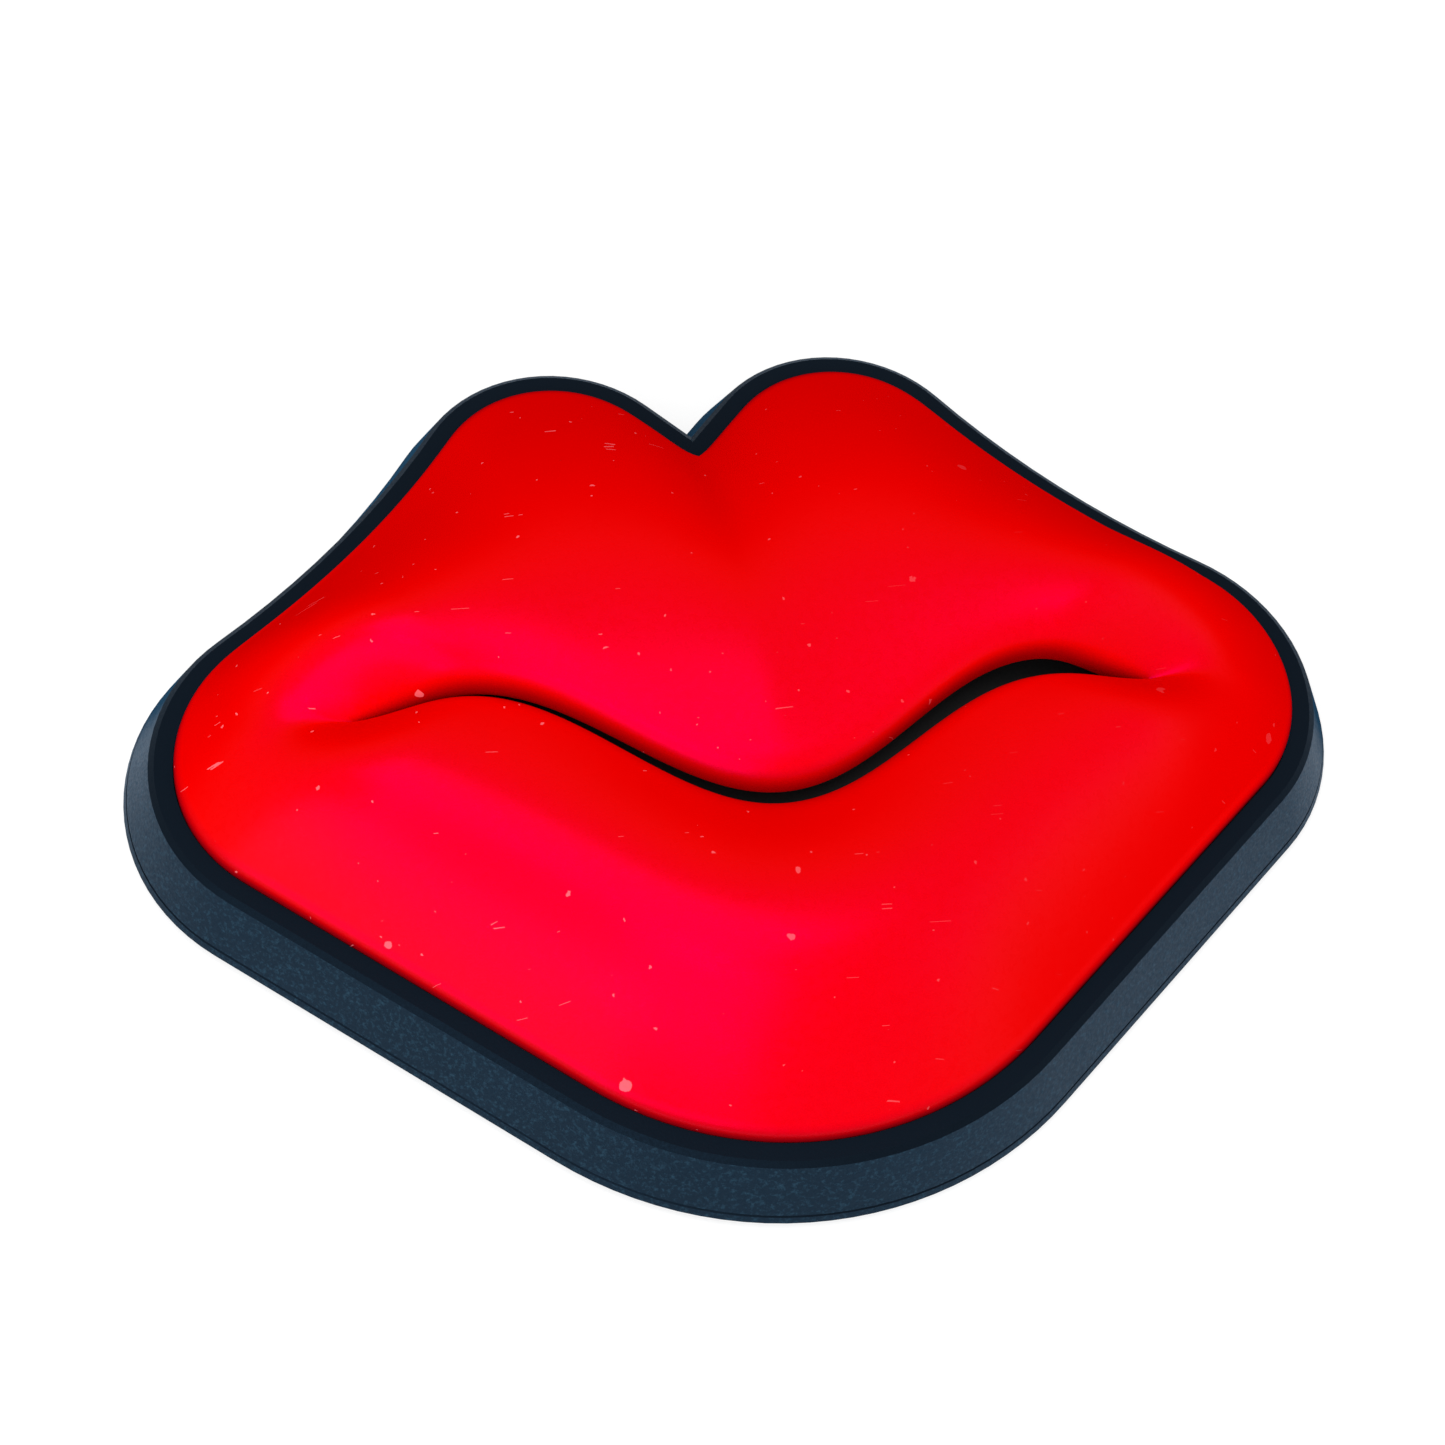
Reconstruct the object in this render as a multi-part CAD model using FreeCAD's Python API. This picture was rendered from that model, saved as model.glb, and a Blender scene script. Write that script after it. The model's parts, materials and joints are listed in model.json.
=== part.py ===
# Novelty telephone shaped as a pair of lips: a one-piece handset that lies face up on the table.
# A red lip shell and a black rim frame stand on a black bottom plate, which carries the keys, the
# earpiece, the microphone and a hook plunger that the table pushes in.
# Frame: millimetres, +Z up, origin under the middle of the case on the table. +X runs along the mouth
# from the ear end to the voice end, and +Y points at the cupid's bow.
import FreeCAD
import Part
import math
import os

V = FreeCAD.Vector
UP = V(0, 0, 1)

# Case outline, measured at the top edge of the black rim
RIM_HALF_WIDTH = 100.0
RIM_HALF_DEPTH = 79.0
CORNER_RADIUS = 31.5
CORNER_Y = 1.4
PEAK_X = 26.0
PEAK_RADIUS = 25.0
NOTCH_DEPTH = 16.5
WAIST_RADIUS = 170.0
CHIN_RADIUS = 60.0
RIM_FLARE = 5.4
EDGE_BEVEL = 0.7

# Stack of the case, from the table up
FOOT_HEIGHT = 1.5
PLATE_THICKNESS = 2.2
FRAME_HEIGHT = 9.8
FRAME_WALL = 2.4
LEDGE_WIDTH = 3.9
SEAT_DEPTH = 3.0
SHELF_THICKNESS = 2.0
SHELF_WIDTH = 3.6
PARTING_STEP = 0.4
TONGUE_HEIGHT = 2.4
TONGUE_WIDTH = 1.6
SHELL_WALL = 2.5

# Running and assembly clearances
SKIRT_GAP = 0.2
SLIDE_GAP = 0.25
KEY_GAP = 0.3
SEAT_GAP = 0.05
SCREW_GAP = 0.05

# Lips: the mouth line in plan, then heights at the centre, over the hump and at the mouth corner
MOUTH_HALF_WIDTH = 66.0
MOUTH_TILT = -2.2
HUMP_X = 47.5
TUBERCLE_Y = -20.0
HUMP_Y = 0.0
MOUTH_CORNER_Y = -2.2
EAR_SIDE_GAP = (1.4, 0.8, 0.5)
VOICE_SIDE_GAP = (1.4, 2.0, 0.5)
SKIRT_SHOWN = 1.2
UPPER_CREST = (37.5, 39.5, 28.0)
UPPER_EDGE = (31.0, 34.0, 26.0)
UPPER_CREST_SHARE = (0.6, 0.62, 0.6)
LOWER_CREST = (35.5, 34.5, 28.0)
LOWER_EDGE = (27.8, 31.3, 26.0)
LOWER_CREST_SHARE = (0.58, 0.58, 0.6)
EDGE_ROLL = (3.0, 3.0, 0.8)
UPPER_EDGE_THICKNESS = 3.4
SPOKES_PER_LIP = 22
SPOKE_STATIONS = (0.0, 0.06, 0.14, 0.24, 0.35, 0.47, 0.59, 0.71, 0.82, 0.91, 0.965)
SPOKE_OVERRUN = 3.5
BRINK = 0.4
BRINK_DROP_SHARE = 0.4
INNER_GAP_SHARE = 0.3

# Mouth liner
LINER_THICKNESS = 1.5
LINER_HALF_BAND = 11.0
LINER_END_INSET = 6.0
LINER_DROP = 2.4
LINER_STATIONS = 6
LINER_POST_X = 36.0
LINER_POST_OFFSET = 8.0
LINER_POST_RADIUS = 2.6
LINER_PEG_RADIUS = 1.5
LINER_PEG_LENGTH = 3.0

# Keypad
KEY_COLUMN_PITCH = 17.0
KEY_ROW_PITCH = 14.5
KEY_LENGTH = 9.6
KEY_WIDTH = 12.0
FUNCTION_KEY_LENGTH = 6.4
FUNCTION_ROW_STEP = 15.0
KEY_CORNER = 2.2
KEY_SHOWN = 1.8
KEY_FACE_ROUND = 0.8
KEY_FLANGE = 1.2
KEY_FLANGE_THICKNESS = 1.0
KEY_TRAVEL = 1.2
KEYPAD_X = 4.0
WELL_DEPTH = 2.5
WELL_FLOOR = 2.0
WELL_MARGIN = 4.5
WELL_WALL = 2.0
WELL_CORNER = 5.0
MAT_SHEET = 0.8
MAT_MARGIN = 1.5
DOME_SPARE = 0.5
DOME_RADIUS = 3.6
DOME_TIP_RADIUS = 2.4
DOME_CHAMBER_RADIUS = 1.6
DOME_CHAMBER_DEPTH = 1.6

# Circuit board
BOARD_THICKNESS = 1.6
BOARD_MARGIN_X = 4.0
BOARD_MARGIN_Y = 8.0
BOARD_BOSS_RADIUS = 2.8
BOARD_BOSS_INSET = 3.4

# Screws
CASE_SCREW_RADIUS = 1.45
CASE_SCREW_HEAD_RADIUS = 2.8
CASE_SCREW_HEAD = 2.0
CASE_SCREW_LENGTH = 12.0
CASE_SCREW_SEAT = 2.5
PILOT_SPARE = 1.0
CASE_BOSS_RADIUS = 4.6
CASE_BOSS_WALL = 2.2
PILLAR_RADIUS = 4.0
CASE_SCREW_X = (54.0, 30.0)
CASE_SCREW_INSET = (50.0, 25.0)
SMALL_SCREW_RADIUS = 1.1
SMALL_SCREW_HEAD_RADIUS = 2.2
SMALL_SCREW_HEAD = 1.6
SMALL_SCREW_LENGTH = 6.0
CROSS_SLOT_WIDTH = 0.8
CROSS_SLOT_DEPTH = 0.9
CROSS_SLOT_SPAN = 1.3

# Earpiece at the ear end
RECEIVER_FROM_CORNER = 33.0
RECEIVER_RADIUS = 15.0
RECEIVER_HEIGHT = 9.0
RECEIVER_BEVEL = 1.0
RECEIVER_RIB = 1.8
RECEIVER_RIB_HEIGHT = 7.0
GASKET_THICKNESS = 1.5
GASKET_WIDTH = 3.5
GRILLE_HOLE_RADIUS = 1.1
GRILLE_RING_PITCH = 4.2
GRILLE_RINGS = 2
DISH_RADIUS = 14.0
DISH_DEPTH = 0.8
RETAINER_WIDTH = 10.0
RETAINER_THICKNESS = 2.5
RETAINER_BOSS_RADIUS = 3.0

# Microphone at the voice end
MICROPHONE_FROM_CORNER = 18.5
MICROPHONE_RADIUS = 4.85
MICROPHONE_HEIGHT = 6.5
BOOT_WALL = 2.0
BOOT_FLOOR = 1.0
BOOT_RIB = 1.5
BOOT_RIB_HEIGHT = 5.0
VOICE_HOLE_RADIUS = 0.9
VOICE_HOLE_PITCH = 3.0

# Hook plunger, pushed in by the table
HOOK_X = 63.0
HOOK_RADIUS = 4.5
HOOK_TIP_ROUND = 1.0
HOOK_TRAVEL = 3.5
HOOK_COLLAR_HEIGHT = 1.5
HOOK_COLLAR_WALL = 2.0
HOOK_FLANGE_RADIUS = 6.8
HOOK_FLANGE_THICKNESS = 1.3
HOOK_SPRING_RADIUS = 5.6
HOOK_SPRING_WIRE = 0.8
HOOK_SPRING_TURNS = 3
HOOK_SPRING_LENGTH = 5.0
HOOK_SWITCH_SIDE = 6.0
HOOK_SWITCH_HEIGHT = 3.5
HOOK_STUB_RADIUS = 1.5
HOOK_BRACKET_THICKNESS = 1.6
HOOK_BRACKET_WIDTH = 12.0
HOOK_BOSS_RADIUS = 3.2
HOOK_BOSS_REACH = 13.5

# Slide switches on the underside
SWITCH_X = 17.0
SWITCH_Y = -44.0
SWITCH_TRAVEL = 3.0
SWITCH_KNOB_LENGTH = 5.0
SWITCH_KNOB_WIDTH = 3.2
SWITCH_KNOB_RIDGES = 3
SWITCH_RIDGE_SINK = 0.3
SWITCH_STEM = 2.4
SWITCH_STEM_RISE = 2.0
SWITCH_POCKET_DEPTH = 0.9
SWITCH_POCKET_MARGIN = 2.0
SWITCH_BODY_LENGTH = 14.0
SWITCH_BODY_WIDTH = 7.0
SWITCH_BODY_HEIGHT = 5.0

# Modular line jack in the right peak
JACK_WIDTH = 13.2
JACK_HEIGHT = 10.2
JACK_LENGTH = 15.0
JACK_RECESS = 0.3
JACK_SOCKET_WIDTH = 10.0
JACK_SOCKET_HEIGHT = 7.0
JACK_SOCKET_DEPTH = 12.0
JACK_LATCH_WIDTH = 6.4
JACK_LATCH_DEPTH = 1.5
JACK_GAP = 0.2
JACK_LIFT = 0.4
JACK_WIRE = 0.5
JACK_WIRE_PITCH = 1.02
JACK_WIRES = 4
JACK_WIRE_SINK = 2.0
JACK_SOCKET_RISE = 2.4

# Ringer in the left peak
RINGER_INSET = 22.0
RINGER_RADIUS = 13.0
RINGER_HEIGHT = 5.6
RINGER_WALL = 1.2
RINGER_DISC_RADIUS = 10.0
RINGER_DISC_THICKNESS = 0.6
RINGER_STEP = 2.4
RINGER_HOLE_RADIUS = 1.0
RINGER_HOLE_PITCH = 4.0

# Ballast in the chin
BALLAST_WIDTH = 42.0
BALLAST_DEPTH = 17.0
BALLAST_THICKNESS = 4.0
BALLAST_Y = -60.5
BALLAST_CORNER = 3.0
BALLAST_PEG_X = 14.0
BALLAST_PEG_RADIUS = 2.0

# Rubber feet
FOOT_RADIUS = 6.0
FOOT_SINK = 0.8
FOOT_ROUND = 0.6
FOOT_X = (42.0, 52.0)
FOOT_INSET = (29.0, 43.0)

# Board parts and wiring
CHIP_WIDTH = 6.4
CHIP_HEIGHT = 3.4
CHIP_STANDOFF = 0.6
CHIP_PITCH = 2.54
CHIP_LEG = 0.5
CHIP_ROW = 7.62
CHIP_END = 1.4
DIALLER_PINS = 18
DIALLER_PLACE = (12.0, 2.0)
SPEECH_PINS = 16
SPEECH_PLACE = (-18.0, -12.0)
CAPACITOR_SIZES = ((4.0, 10.0), (3.1, 9.0), (2.5, 7.0), (2.5, 7.0))
CAPACITOR_PLACES = ((34.0, 24.0), (-8.0, 26.0), (3.0, 26.0), (-30.0, 24.0))
CRYSTAL_LENGTH = 10.4
CRYSTAL_WIDTH = 3.8
CRYSTAL_HEIGHT = 4.6
CRYSTAL_PLACE = (14.0, -14.0)
DIODE_RADIUS = 1.35
DIODE_LENGTH = 5.2
DIODE_COUNT = 4
DIODE_PITCH = 4.2
DIODE_PLACE = (30.0, -30.0)
HEADER_SIDE = 5.0
HEADER_HEIGHT = 4.0
HEADER_INSET = 3.6
LEAD_RADIUS = 0.9
LEAD_LOOP = 1.8
LEAD_BEND = 2.0
LEAD_LEG_SHARE = 0.47
RECEIVER_LEAD_Y = 8.0
RECEIVER_LEAD_REACH = 9.5
MICROPHONE_LEAD_Y = -24.0
MICROPHONE_LEAD_TURN = (74.0, -19.0)
RINGER_LEAD_X = -20.0
RINGER_LEAD_INSET = 8.0
JACK_LEAD_INSET = 1.2

# Levels worked out from the stack
PLATE_BOTTOM = FOOT_HEIGHT
PLATE_TOP = PLATE_BOTTOM + PLATE_THICKNESS
RIM_TOP = PLATE_TOP + FRAME_HEIGHT
SHELF_TOP = RIM_TOP - SEAT_DEPTH
SHELF_BOTTOM = SHELF_TOP - SHELF_THICKNESS
LIP_EDGE = RIM_TOP + SKIRT_SHOWN
WELL_CEILING = PLATE_BOTTOM + WELL_DEPTH
WELL_TOP = WELL_CEILING + WELL_FLOOR
KEY_TOP = WELL_TOP + SEAT_GAP + KEY_FLANGE_THICKNESS
BOARD_BOTTOM = KEY_TOP + SEAT_GAP + KEY_TRAVEL + DOME_SPARE + MAT_SHEET
BOARD_TOP = BOARD_BOTTOM + BOARD_THICKNESS
SCREW_SEAT = PLATE_BOTTOM + CASE_SCREW_SEAT
SCREW_TIP = SCREW_SEAT + CASE_SCREW_LENGTH
PILLAR_BOTTOM = SCREW_SEAT + CASE_BOSS_WALL
LINER_HALF_WIDTH = MOUTH_HALF_WIDTH - LINER_END_INSET
LINER_TOP = min(LOWER_EDGE) - SHELL_WALL - LINER_DROP
SHELL_CEILING = max(UPPER_CREST) + SHELL_WALL

# Places worked out from the outline
CASE_SCREW_PLACES = (
    (CASE_SCREW_X[0], RIM_HALF_DEPTH - CASE_SCREW_INSET[0]),
    (CASE_SCREW_X[1], CASE_SCREW_INSET[1] - RIM_HALF_DEPTH))
FOOT_PLACES = (
    (FOOT_X[0], RIM_HALF_DEPTH - FOOT_INSET[0]),
    (FOOT_X[1], FOOT_INSET[1] - RIM_HALF_DEPTH))
RINGER_Y = RIM_HALF_DEPTH - RINGER_INSET
RECEIVER_X = RECEIVER_FROM_CORNER - RIM_HALF_WIDTH
MICROPHONE_X = RIM_HALF_WIDTH - MICROPHONE_FROM_CORNER
GASKET_TOP = PLATE_TOP + GASKET_THICKNESS
RECEIVER_TOP = GASKET_TOP + RECEIVER_HEIGHT
RETAINER_REACH = RECEIVER_RADIUS + RECEIVER_RIB + RETAINER_BOSS_RADIUS + 2 * SLIDE_GAP
HOOK_COLLAR_TOP = PLATE_TOP + HOOK_COLLAR_HEIGHT
HOOK_FLANGE_BOTTOM = HOOK_COLLAR_TOP + HOOK_TRAVEL + SEAT_GAP
HOOK_FLANGE_TOP = HOOK_FLANGE_BOTTOM + HOOK_FLANGE_THICKNESS
HOOK_BRACKET_BOTTOM = HOOK_FLANGE_TOP + HOOK_SPRING_LENGTH
KEY_ROWS = [KEYPAD_X + KEY_ROW_PITCH * (row - 2) for row in range(4)]
FUNCTION_ROW = KEY_ROWS[-1] + FUNCTION_ROW_STEP
KEY_COLUMNS = [KEY_COLUMN_PITCH, 0.0, -KEY_COLUMN_PITCH]
WELL_LOW_X = KEY_ROWS[0] - KEY_LENGTH / 2 - WELL_MARGIN
WELL_HIGH_X = FUNCTION_ROW + FUNCTION_KEY_LENGTH / 2 + WELL_MARGIN
WELL_MIDDLE_X = (WELL_LOW_X + WELL_HIGH_X) / 2
WELL_HALF_Y = KEY_COLUMN_PITCH + KEY_WIDTH / 2 + WELL_MARGIN
BOARD_LOW_X = WELL_LOW_X - WELL_WALL - BOARD_MARGIN_X
BOARD_HIGH_X = WELL_HIGH_X + WELL_WALL + BOARD_MARGIN_X
BOARD_HALF_Y = WELL_HALF_Y + WELL_WALL + BOARD_MARGIN_Y
HEADER_TOP = BOARD_TOP + HEADER_HEIGHT
LEAD_LEVEL = HEADER_TOP + LEAD_LOOP
JACK_BOTTOM = PLATE_BOTTOM + JACK_LIFT
JACK_TOP = JACK_BOTTOM + JACK_HEIGHT
JACK_SOCKET_BOTTOM = JACK_BOTTOM + JACK_SOCKET_RISE
JACK_SOCKET_TOP = JACK_SOCKET_BOTTOM + JACK_SOCKET_HEIGHT
MICROPHONE_TOP = PLATE_TOP + BOOT_FLOOR + MICROPHONE_HEIGHT
RINGER_TOP = PLATE_TOP + RINGER_HEIGHT
HOOK_BRACKET_TOP = HOOK_BRACKET_BOTTOM + HOOK_BRACKET_THICKNESS
RETAINER_TOP = RECEIVER_TOP + RETAINER_THICKNESS
JACK_FACE_Y = RIM_HALF_DEPTH - JACK_RECESS
KEY_NAMES = (("1", "2", "3"), ("4", "5", "6"), ("7", "8", "9"), ("star", "0", "hash"))
FUNCTION_NAMES = ("flash", "redial", "mute")


# Small solids

def box(low_x, high_x, low_y, high_y, low_z, high_z):
    return Part.makeBox(high_x - low_x, high_y - low_y, high_z - low_z, V(low_x, low_y, low_z))


def block(x, y, length, width, low_z, high_z):
    return box(x - length / 2, x + length / 2, y - width / 2, y + width / 2, low_z, high_z)


def rod(x, y, radius, low_z, high_z):
    return Part.makeCylinder(radius, high_z - low_z, V(x, y, low_z))


def tube(x, y, outer, inner, low_z, high_z):
    return rod(x, y, outer, low_z, high_z).cut(rod(x, y, inner, low_z, high_z))


def rounded_block(x, y, length, width, corner, low_z, high_z):
    solid = block(x, y, length, width, low_z, high_z)
    upright = [e for e in solid.Edges if abs(e.Vertexes[0].Z - e.Vertexes[-1].Z) > (high_z - low_z) / 2]
    return solid.makeFillet(corner, upright)


def both_sides(places):
    return [(sign * x, y) for x, y in places for sign in (1, -1)]


def polar(centre, radius, angle):
    return V(centre.x + radius * math.cos(angle), centre.y + radius * math.sin(angle), 0)


def heading(start, end):
    return math.atan2(end.y - start.y, end.x - start.x)


# Case outline: peak, waist, corner and chin arcs joined by tangent lines

PEAK_CENTRE = V(PEAK_X, RIM_HALF_DEPTH - PEAK_RADIUS, 0)
CORNER_CENTRE = V(RIM_HALF_WIDTH - CORNER_RADIUS, CORNER_Y, 0)
CHIN_CENTRE = V(0, CHIN_RADIUS - RIM_HALF_DEPTH, 0)


def waist_centre():
    """Centre of the hollow arc that touches the peak and corner arcs from outside."""
    from_peak = PEAK_RADIUS + WAIST_RADIUS
    from_corner = CORNER_RADIUS + WAIST_RADIUS
    across = CORNER_CENTRE - PEAK_CENTRE
    along = (from_peak ** 2 - from_corner ** 2 + across.Length ** 2) / (2 * across.Length)
    aside = math.sqrt(from_peak ** 2 - along ** 2)
    direction = V(across).normalize()
    return PEAK_CENTRE + direction * along + V(-direction.y, direction.x, 0) * aside


WAIST_CENTRE = waist_centre()


def notch_angle():
    """Direction of the normal of the straight run from the notch to the peak arc."""
    notch = V(0, RIM_HALF_DEPTH - NOTCH_DEPTH, 0)
    away = notch - PEAK_CENTRE
    return math.atan2(away.y, away.x) - math.acos(PEAK_RADIUS / away.Length)


def side_angle():
    """Direction of the normal of the straight run from the corner arc to the chin arc."""
    across = CHIN_CENTRE - CORNER_CENTRE
    return math.atan2(across.y, across.x) + math.acos((CORNER_RADIUS - CHIN_RADIUS) / across.Length)


def arc(centre, radius, start, end):
    points = [polar(centre, radius, angle) for angle in (start, (start + end) / 2, end)]
    return Part.Arc(*points).toShape()


def half_outline(grow):
    """Edges of the right half, from the notch round to the chin, moved outwards by grow."""
    first = notch_angle()
    last = side_angle()
    leave_peak = heading(PEAK_CENTRE, WAIST_CENTRE)
    reach_corner = heading(CORNER_CENTRE, WAIST_CENTRE)
    peak = PEAK_RADIUS + grow
    corner = CORNER_RADIUS + grow
    chin = CHIN_RADIUS + grow
    touch = polar(PEAK_CENTRE, peak, first)
    notch = V(0, touch.y + touch.x / math.tan(first), 0)
    side_start = polar(CORNER_CENTRE, corner, last)
    side_end = polar(CHIN_CENTRE, chin, last)
    return [
        Part.LineSegment(notch, touch).toShape(),
        arc(PEAK_CENTRE, peak, first, leave_peak),
        arc(WAIST_CENTRE, WAIST_RADIUS - grow, leave_peak + math.pi, reach_corner + math.pi),
        arc(CORNER_CENTRE, corner, reach_corner, last),
        Part.LineSegment(side_start, side_end).toShape(),
        arc(CHIN_CENTRE, chin, last, -math.pi / 2),
    ]


def outline(grow, height=0.0):
    """Closed outline of the case, moved outwards by grow and lifted to a height."""
    right = half_outline(grow)
    left = [edge.mirror(V(0, 0, 0), V(1, 0, 0)) for edge in reversed(right)]
    wire = Part.Wire(right + left)
    wire.translate(V(0, 0, height))
    return wire


def slab(grow, low_z, high_z):
    return Part.Face(outline(grow, low_z)).extrude(V(0, 0, high_z - low_z))


def flare(height):
    """How far the sloping side stands outside the rim edge at a height."""
    return RIM_FLARE * (RIM_TOP - height) / (RIM_TOP - PLATE_BOTTOM)


def sloped(stations):
    """Solid through outlines given as (grow, height), with straight sides between them."""
    return Part.makeLoft([outline(grow, height) for grow, height in stations], True, True)


# Lips: spokes run from the rim to the mouth line, and each spoke carries a lip profile

def eased(values, share):
    """Value between the centre, hump and mouth-corner values at a share of the mouth's half width."""
    centre, hump, corner = values
    turn = HUMP_X / MOUTH_HALF_WIDTH
    if share < turn:
        return centre + (hump - centre) * math.sin(math.pi / 2 * share / turn) ** 2
    return hump + (corner - hump) * math.sin(math.pi / 2 * (share - turn) / (1 - turn)) ** 2


def mouth_y(x):
    """Mouth line in plan: low at the tubercle, high at the humps, and set slightly askew."""
    reach = abs(x)
    askew = x * math.tan(math.radians(MOUTH_TILT))
    if reach < HUMP_X:
        return HUMP_Y + (TUBERCLE_Y - HUMP_Y) * (1 + math.cos(math.pi * reach / HUMP_X)) / 2 + askew
    fall = (reach - HUMP_X) / (MOUTH_HALF_WIDTH - HUMP_X)
    return HUMP_Y + (MOUTH_CORNER_Y - HUMP_Y) * fall ** 2 + askew


def lip_height(along, share, upper):
    """Height of a lip's skin along a spoke, 0 at the rim and 1 at the mouth line."""
    crest = eased(UPPER_CREST if upper else LOWER_CREST, share)
    edge = eased(UPPER_EDGE if upper else LOWER_EDGE, share)
    top = eased(UPPER_CREST_SHARE if upper else LOWER_CREST_SHARE, share)
    if along <= top:
        return LIP_EDGE + (crest - LIP_EDGE) * math.sin(math.pi / 2 * along / top)
    return edge + (crest - edge) * math.cos(math.pi / 2 * (along - top) / (1 - top))


def spoke(rim_point, share, hand, upper, inner):
    """Control points of one spoke of the outer skin, or of the inner skin of the shell."""
    across = hand * share * MOUTH_HALF_WIDTH
    gap = eased(VOICE_SIDE_GAP if hand > 0 else EAR_SIDE_GAP, share)
    opening = INNER_GAP_SHARE if inner else 1.0
    side = 0 if share == 1 else 1 if upper else -1
    mouth_point = V(across, mouth_y(across) - gap * (1 - side * opening) / 2, 0)
    run = mouth_point - rim_point
    direction = V(run).normalize()
    outside = rim_point - direction * SPOKE_OVERRUN
    sunk = SHELL_WALL if inner else 0.0
    points = [V(outside.x, outside.y, LIP_EDGE - SPOKE_OVERRUN - sunk)]
    for along in SPOKE_STATIONS:
        place = rim_point + run * along
        points.append(V(place.x, place.y, lip_height(along, share, upper) - sunk))
    edge = lip_height(1.0, share, upper)
    if inner:
        points.append(V(mouth_point.x, mouth_point.y, edge - max(sunk, UPPER_EDGE_THICKNESS)))
        return points
    roll = eased(EDGE_ROLL, share)
    brink = mouth_point - direction * BRINK
    points.append(V(brink.x, brink.y, edge - roll * BRINK_DROP_SHARE))
    points.append(V(mouth_point.x, mouth_point.y, edge - roll))
    return points


def half_spokes(hand, inner):
    """Spokes of the right (hand 1) or left (hand -1) half, from the notch spoke to the chin spoke."""
    grow = -LEDGE_WIDTH - (SHELL_WALL if inner else 0.0)
    edges = half_outline(grow)
    corner = CORNER_RADIUS + grow
    turn = math.asin((mouth_y(hand * MOUTH_HALF_WIDTH) - CORNER_Y) / corner)
    upper_corner = arc(CORNER_CENTRE, corner, heading(CORNER_CENTRE, WAIST_CENTRE), turn)
    lower_corner = arc(CORNER_CENTRE, corner, turn, side_angle())
    upper_run = Part.Wire(edges[:3] + [upper_corner]).discretize(SPOKES_PER_LIP + 1)
    lower_run = Part.Wire([lower_corner] + edges[4:]).discretize(SPOKES_PER_LIP + 1)
    rows = []
    for index, point in enumerate(upper_run):
        place = V(hand * point.x if index else 0.0, point.y, 0)
        rows.append(spoke(place, index / SPOKES_PER_LIP, hand, True, inner))
    for index, point in enumerate(lower_run[1:], 1):
        place = V(hand * point.x if index < SPOKES_PER_LIP else 0.0, point.y, 0)
        rows.append(spoke(place, 1 - index / SPOKES_PER_LIP, hand, False, inner))
    return rows


def under_skin(inner):
    """Solid under the lips: a closed ring of spokes gives a smooth skin, taken in two halves."""
    right = half_spokes(1, inner)
    left = half_spokes(-1, inner)[-2:0:-1]
    ring = [left[-1]] + right + left[:-1]
    across = len(ring[0])
    halves = []
    for first, last in ((0, len(right) - 1), (len(right) - 1, len(ring))):
        skin = Part.BSplineSurface()
        skin.buildFromPolesMultsKnots(
            ring,
            [1] * (len(ring) + 1), [4] + [1] * (across - 4) + [4],
            list(range(len(ring) + 1)), list(range(across - 2)),
            True, False, 3, 3)
        skin.segment(first, last, 0, across - 3)
        halves.append(skin.toShape().extrude(V(0, 0, -2 * SHELL_CEILING)))
    return halves


def liner_posts():
    """Places of the posts that carry the mouth liner, on both sides of the mouth line."""
    across = (LINER_POST_X, -LINER_POST_X)
    return [(x, mouth_y(x) + side * LINER_POST_OFFSET) for x in across for side in (1, -1)]


def lips_shell():
    trim = slab(-LEDGE_WIDTH, PILLAR_BOTTOM, SHELL_CEILING)
    core = slab(-LEDGE_WIDTH - SHELL_WALL, 0.0, SHELL_CEILING)
    below_seat = slab(0.0, 0.0, SHELF_TOP)
    places = both_sides(CASE_SCREW_PLACES)
    outer = [half.common(trim) for half in under_skin(False)]
    hollow = [half.common(core) for half in under_skin(True)]
    walls = [half.cut(hollow).cut(below_seat) for half in outer]
    pillars = [rod(x, y, PILLAR_RADIUS, PILLAR_BOTTOM, SHELL_CEILING) for x, y in places]
    posts = [rod(x, y, LINER_POST_RADIUS, LINER_TOP, SHELL_CEILING) for x, y in liner_posts()]
    pegs = [rod(x, y, LINER_PEG_RADIUS, LINER_TOP - LINER_PEG_LENGTH, SHELL_CEILING)
            for x, y in liner_posts()]
    inside = [solid.common(half) for half in outer for solid in pillars + posts + pegs]
    shell = walls[0].fuse(walls[1:] + [solid for solid in inside if solid.Volume > 0])
    pilots = [rod(x, y, CASE_SCREW_RADIUS + SCREW_GAP, 0.0, SCREW_TIP + PILOT_SPARE) for x, y in places]
    return shell.cut(pilots + [jack_room()]).removeSplitter()


def rim_frame():
    wall = sloped([
        (flare(PLATE_TOP), PLATE_TOP),
        (flare(RIM_TOP - EDGE_BEVEL), RIM_TOP - EDGE_BEVEL),
        (-EDGE_BEVEL, RIM_TOP)])
    hollow = sloped([
        (flare(PLATE_TOP) - FRAME_WALL, PLATE_TOP),
        (flare(SHELF_BOTTOM) - FRAME_WALL, SHELF_BOTTOM)])
    rebate = slab(SKIRT_GAP - LEDGE_WIDTH, SHELF_TOP, RIM_TOP)
    opening = slab(-LEDGE_WIDTH - SHELF_WIDTH, SHELF_BOTTOM, SHELF_TOP)
    return wall.cut([hollow, rebate, opening]).cut(jack_room()).removeSplitter()


def jack_room():
    """Space that the jack takes through the rim, the shelf and the skirt of the shell."""
    half = JACK_WIDTH / 2 + JACK_GAP
    low_y = JACK_FACE_Y - JACK_LENGTH - JACK_GAP
    return box(PEAK_X - half, PEAK_X + half, low_y, RIM_HALF_DEPTH + 2 * RIM_FLARE,
               0.0, JACK_TOP + JACK_GAP)


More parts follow.
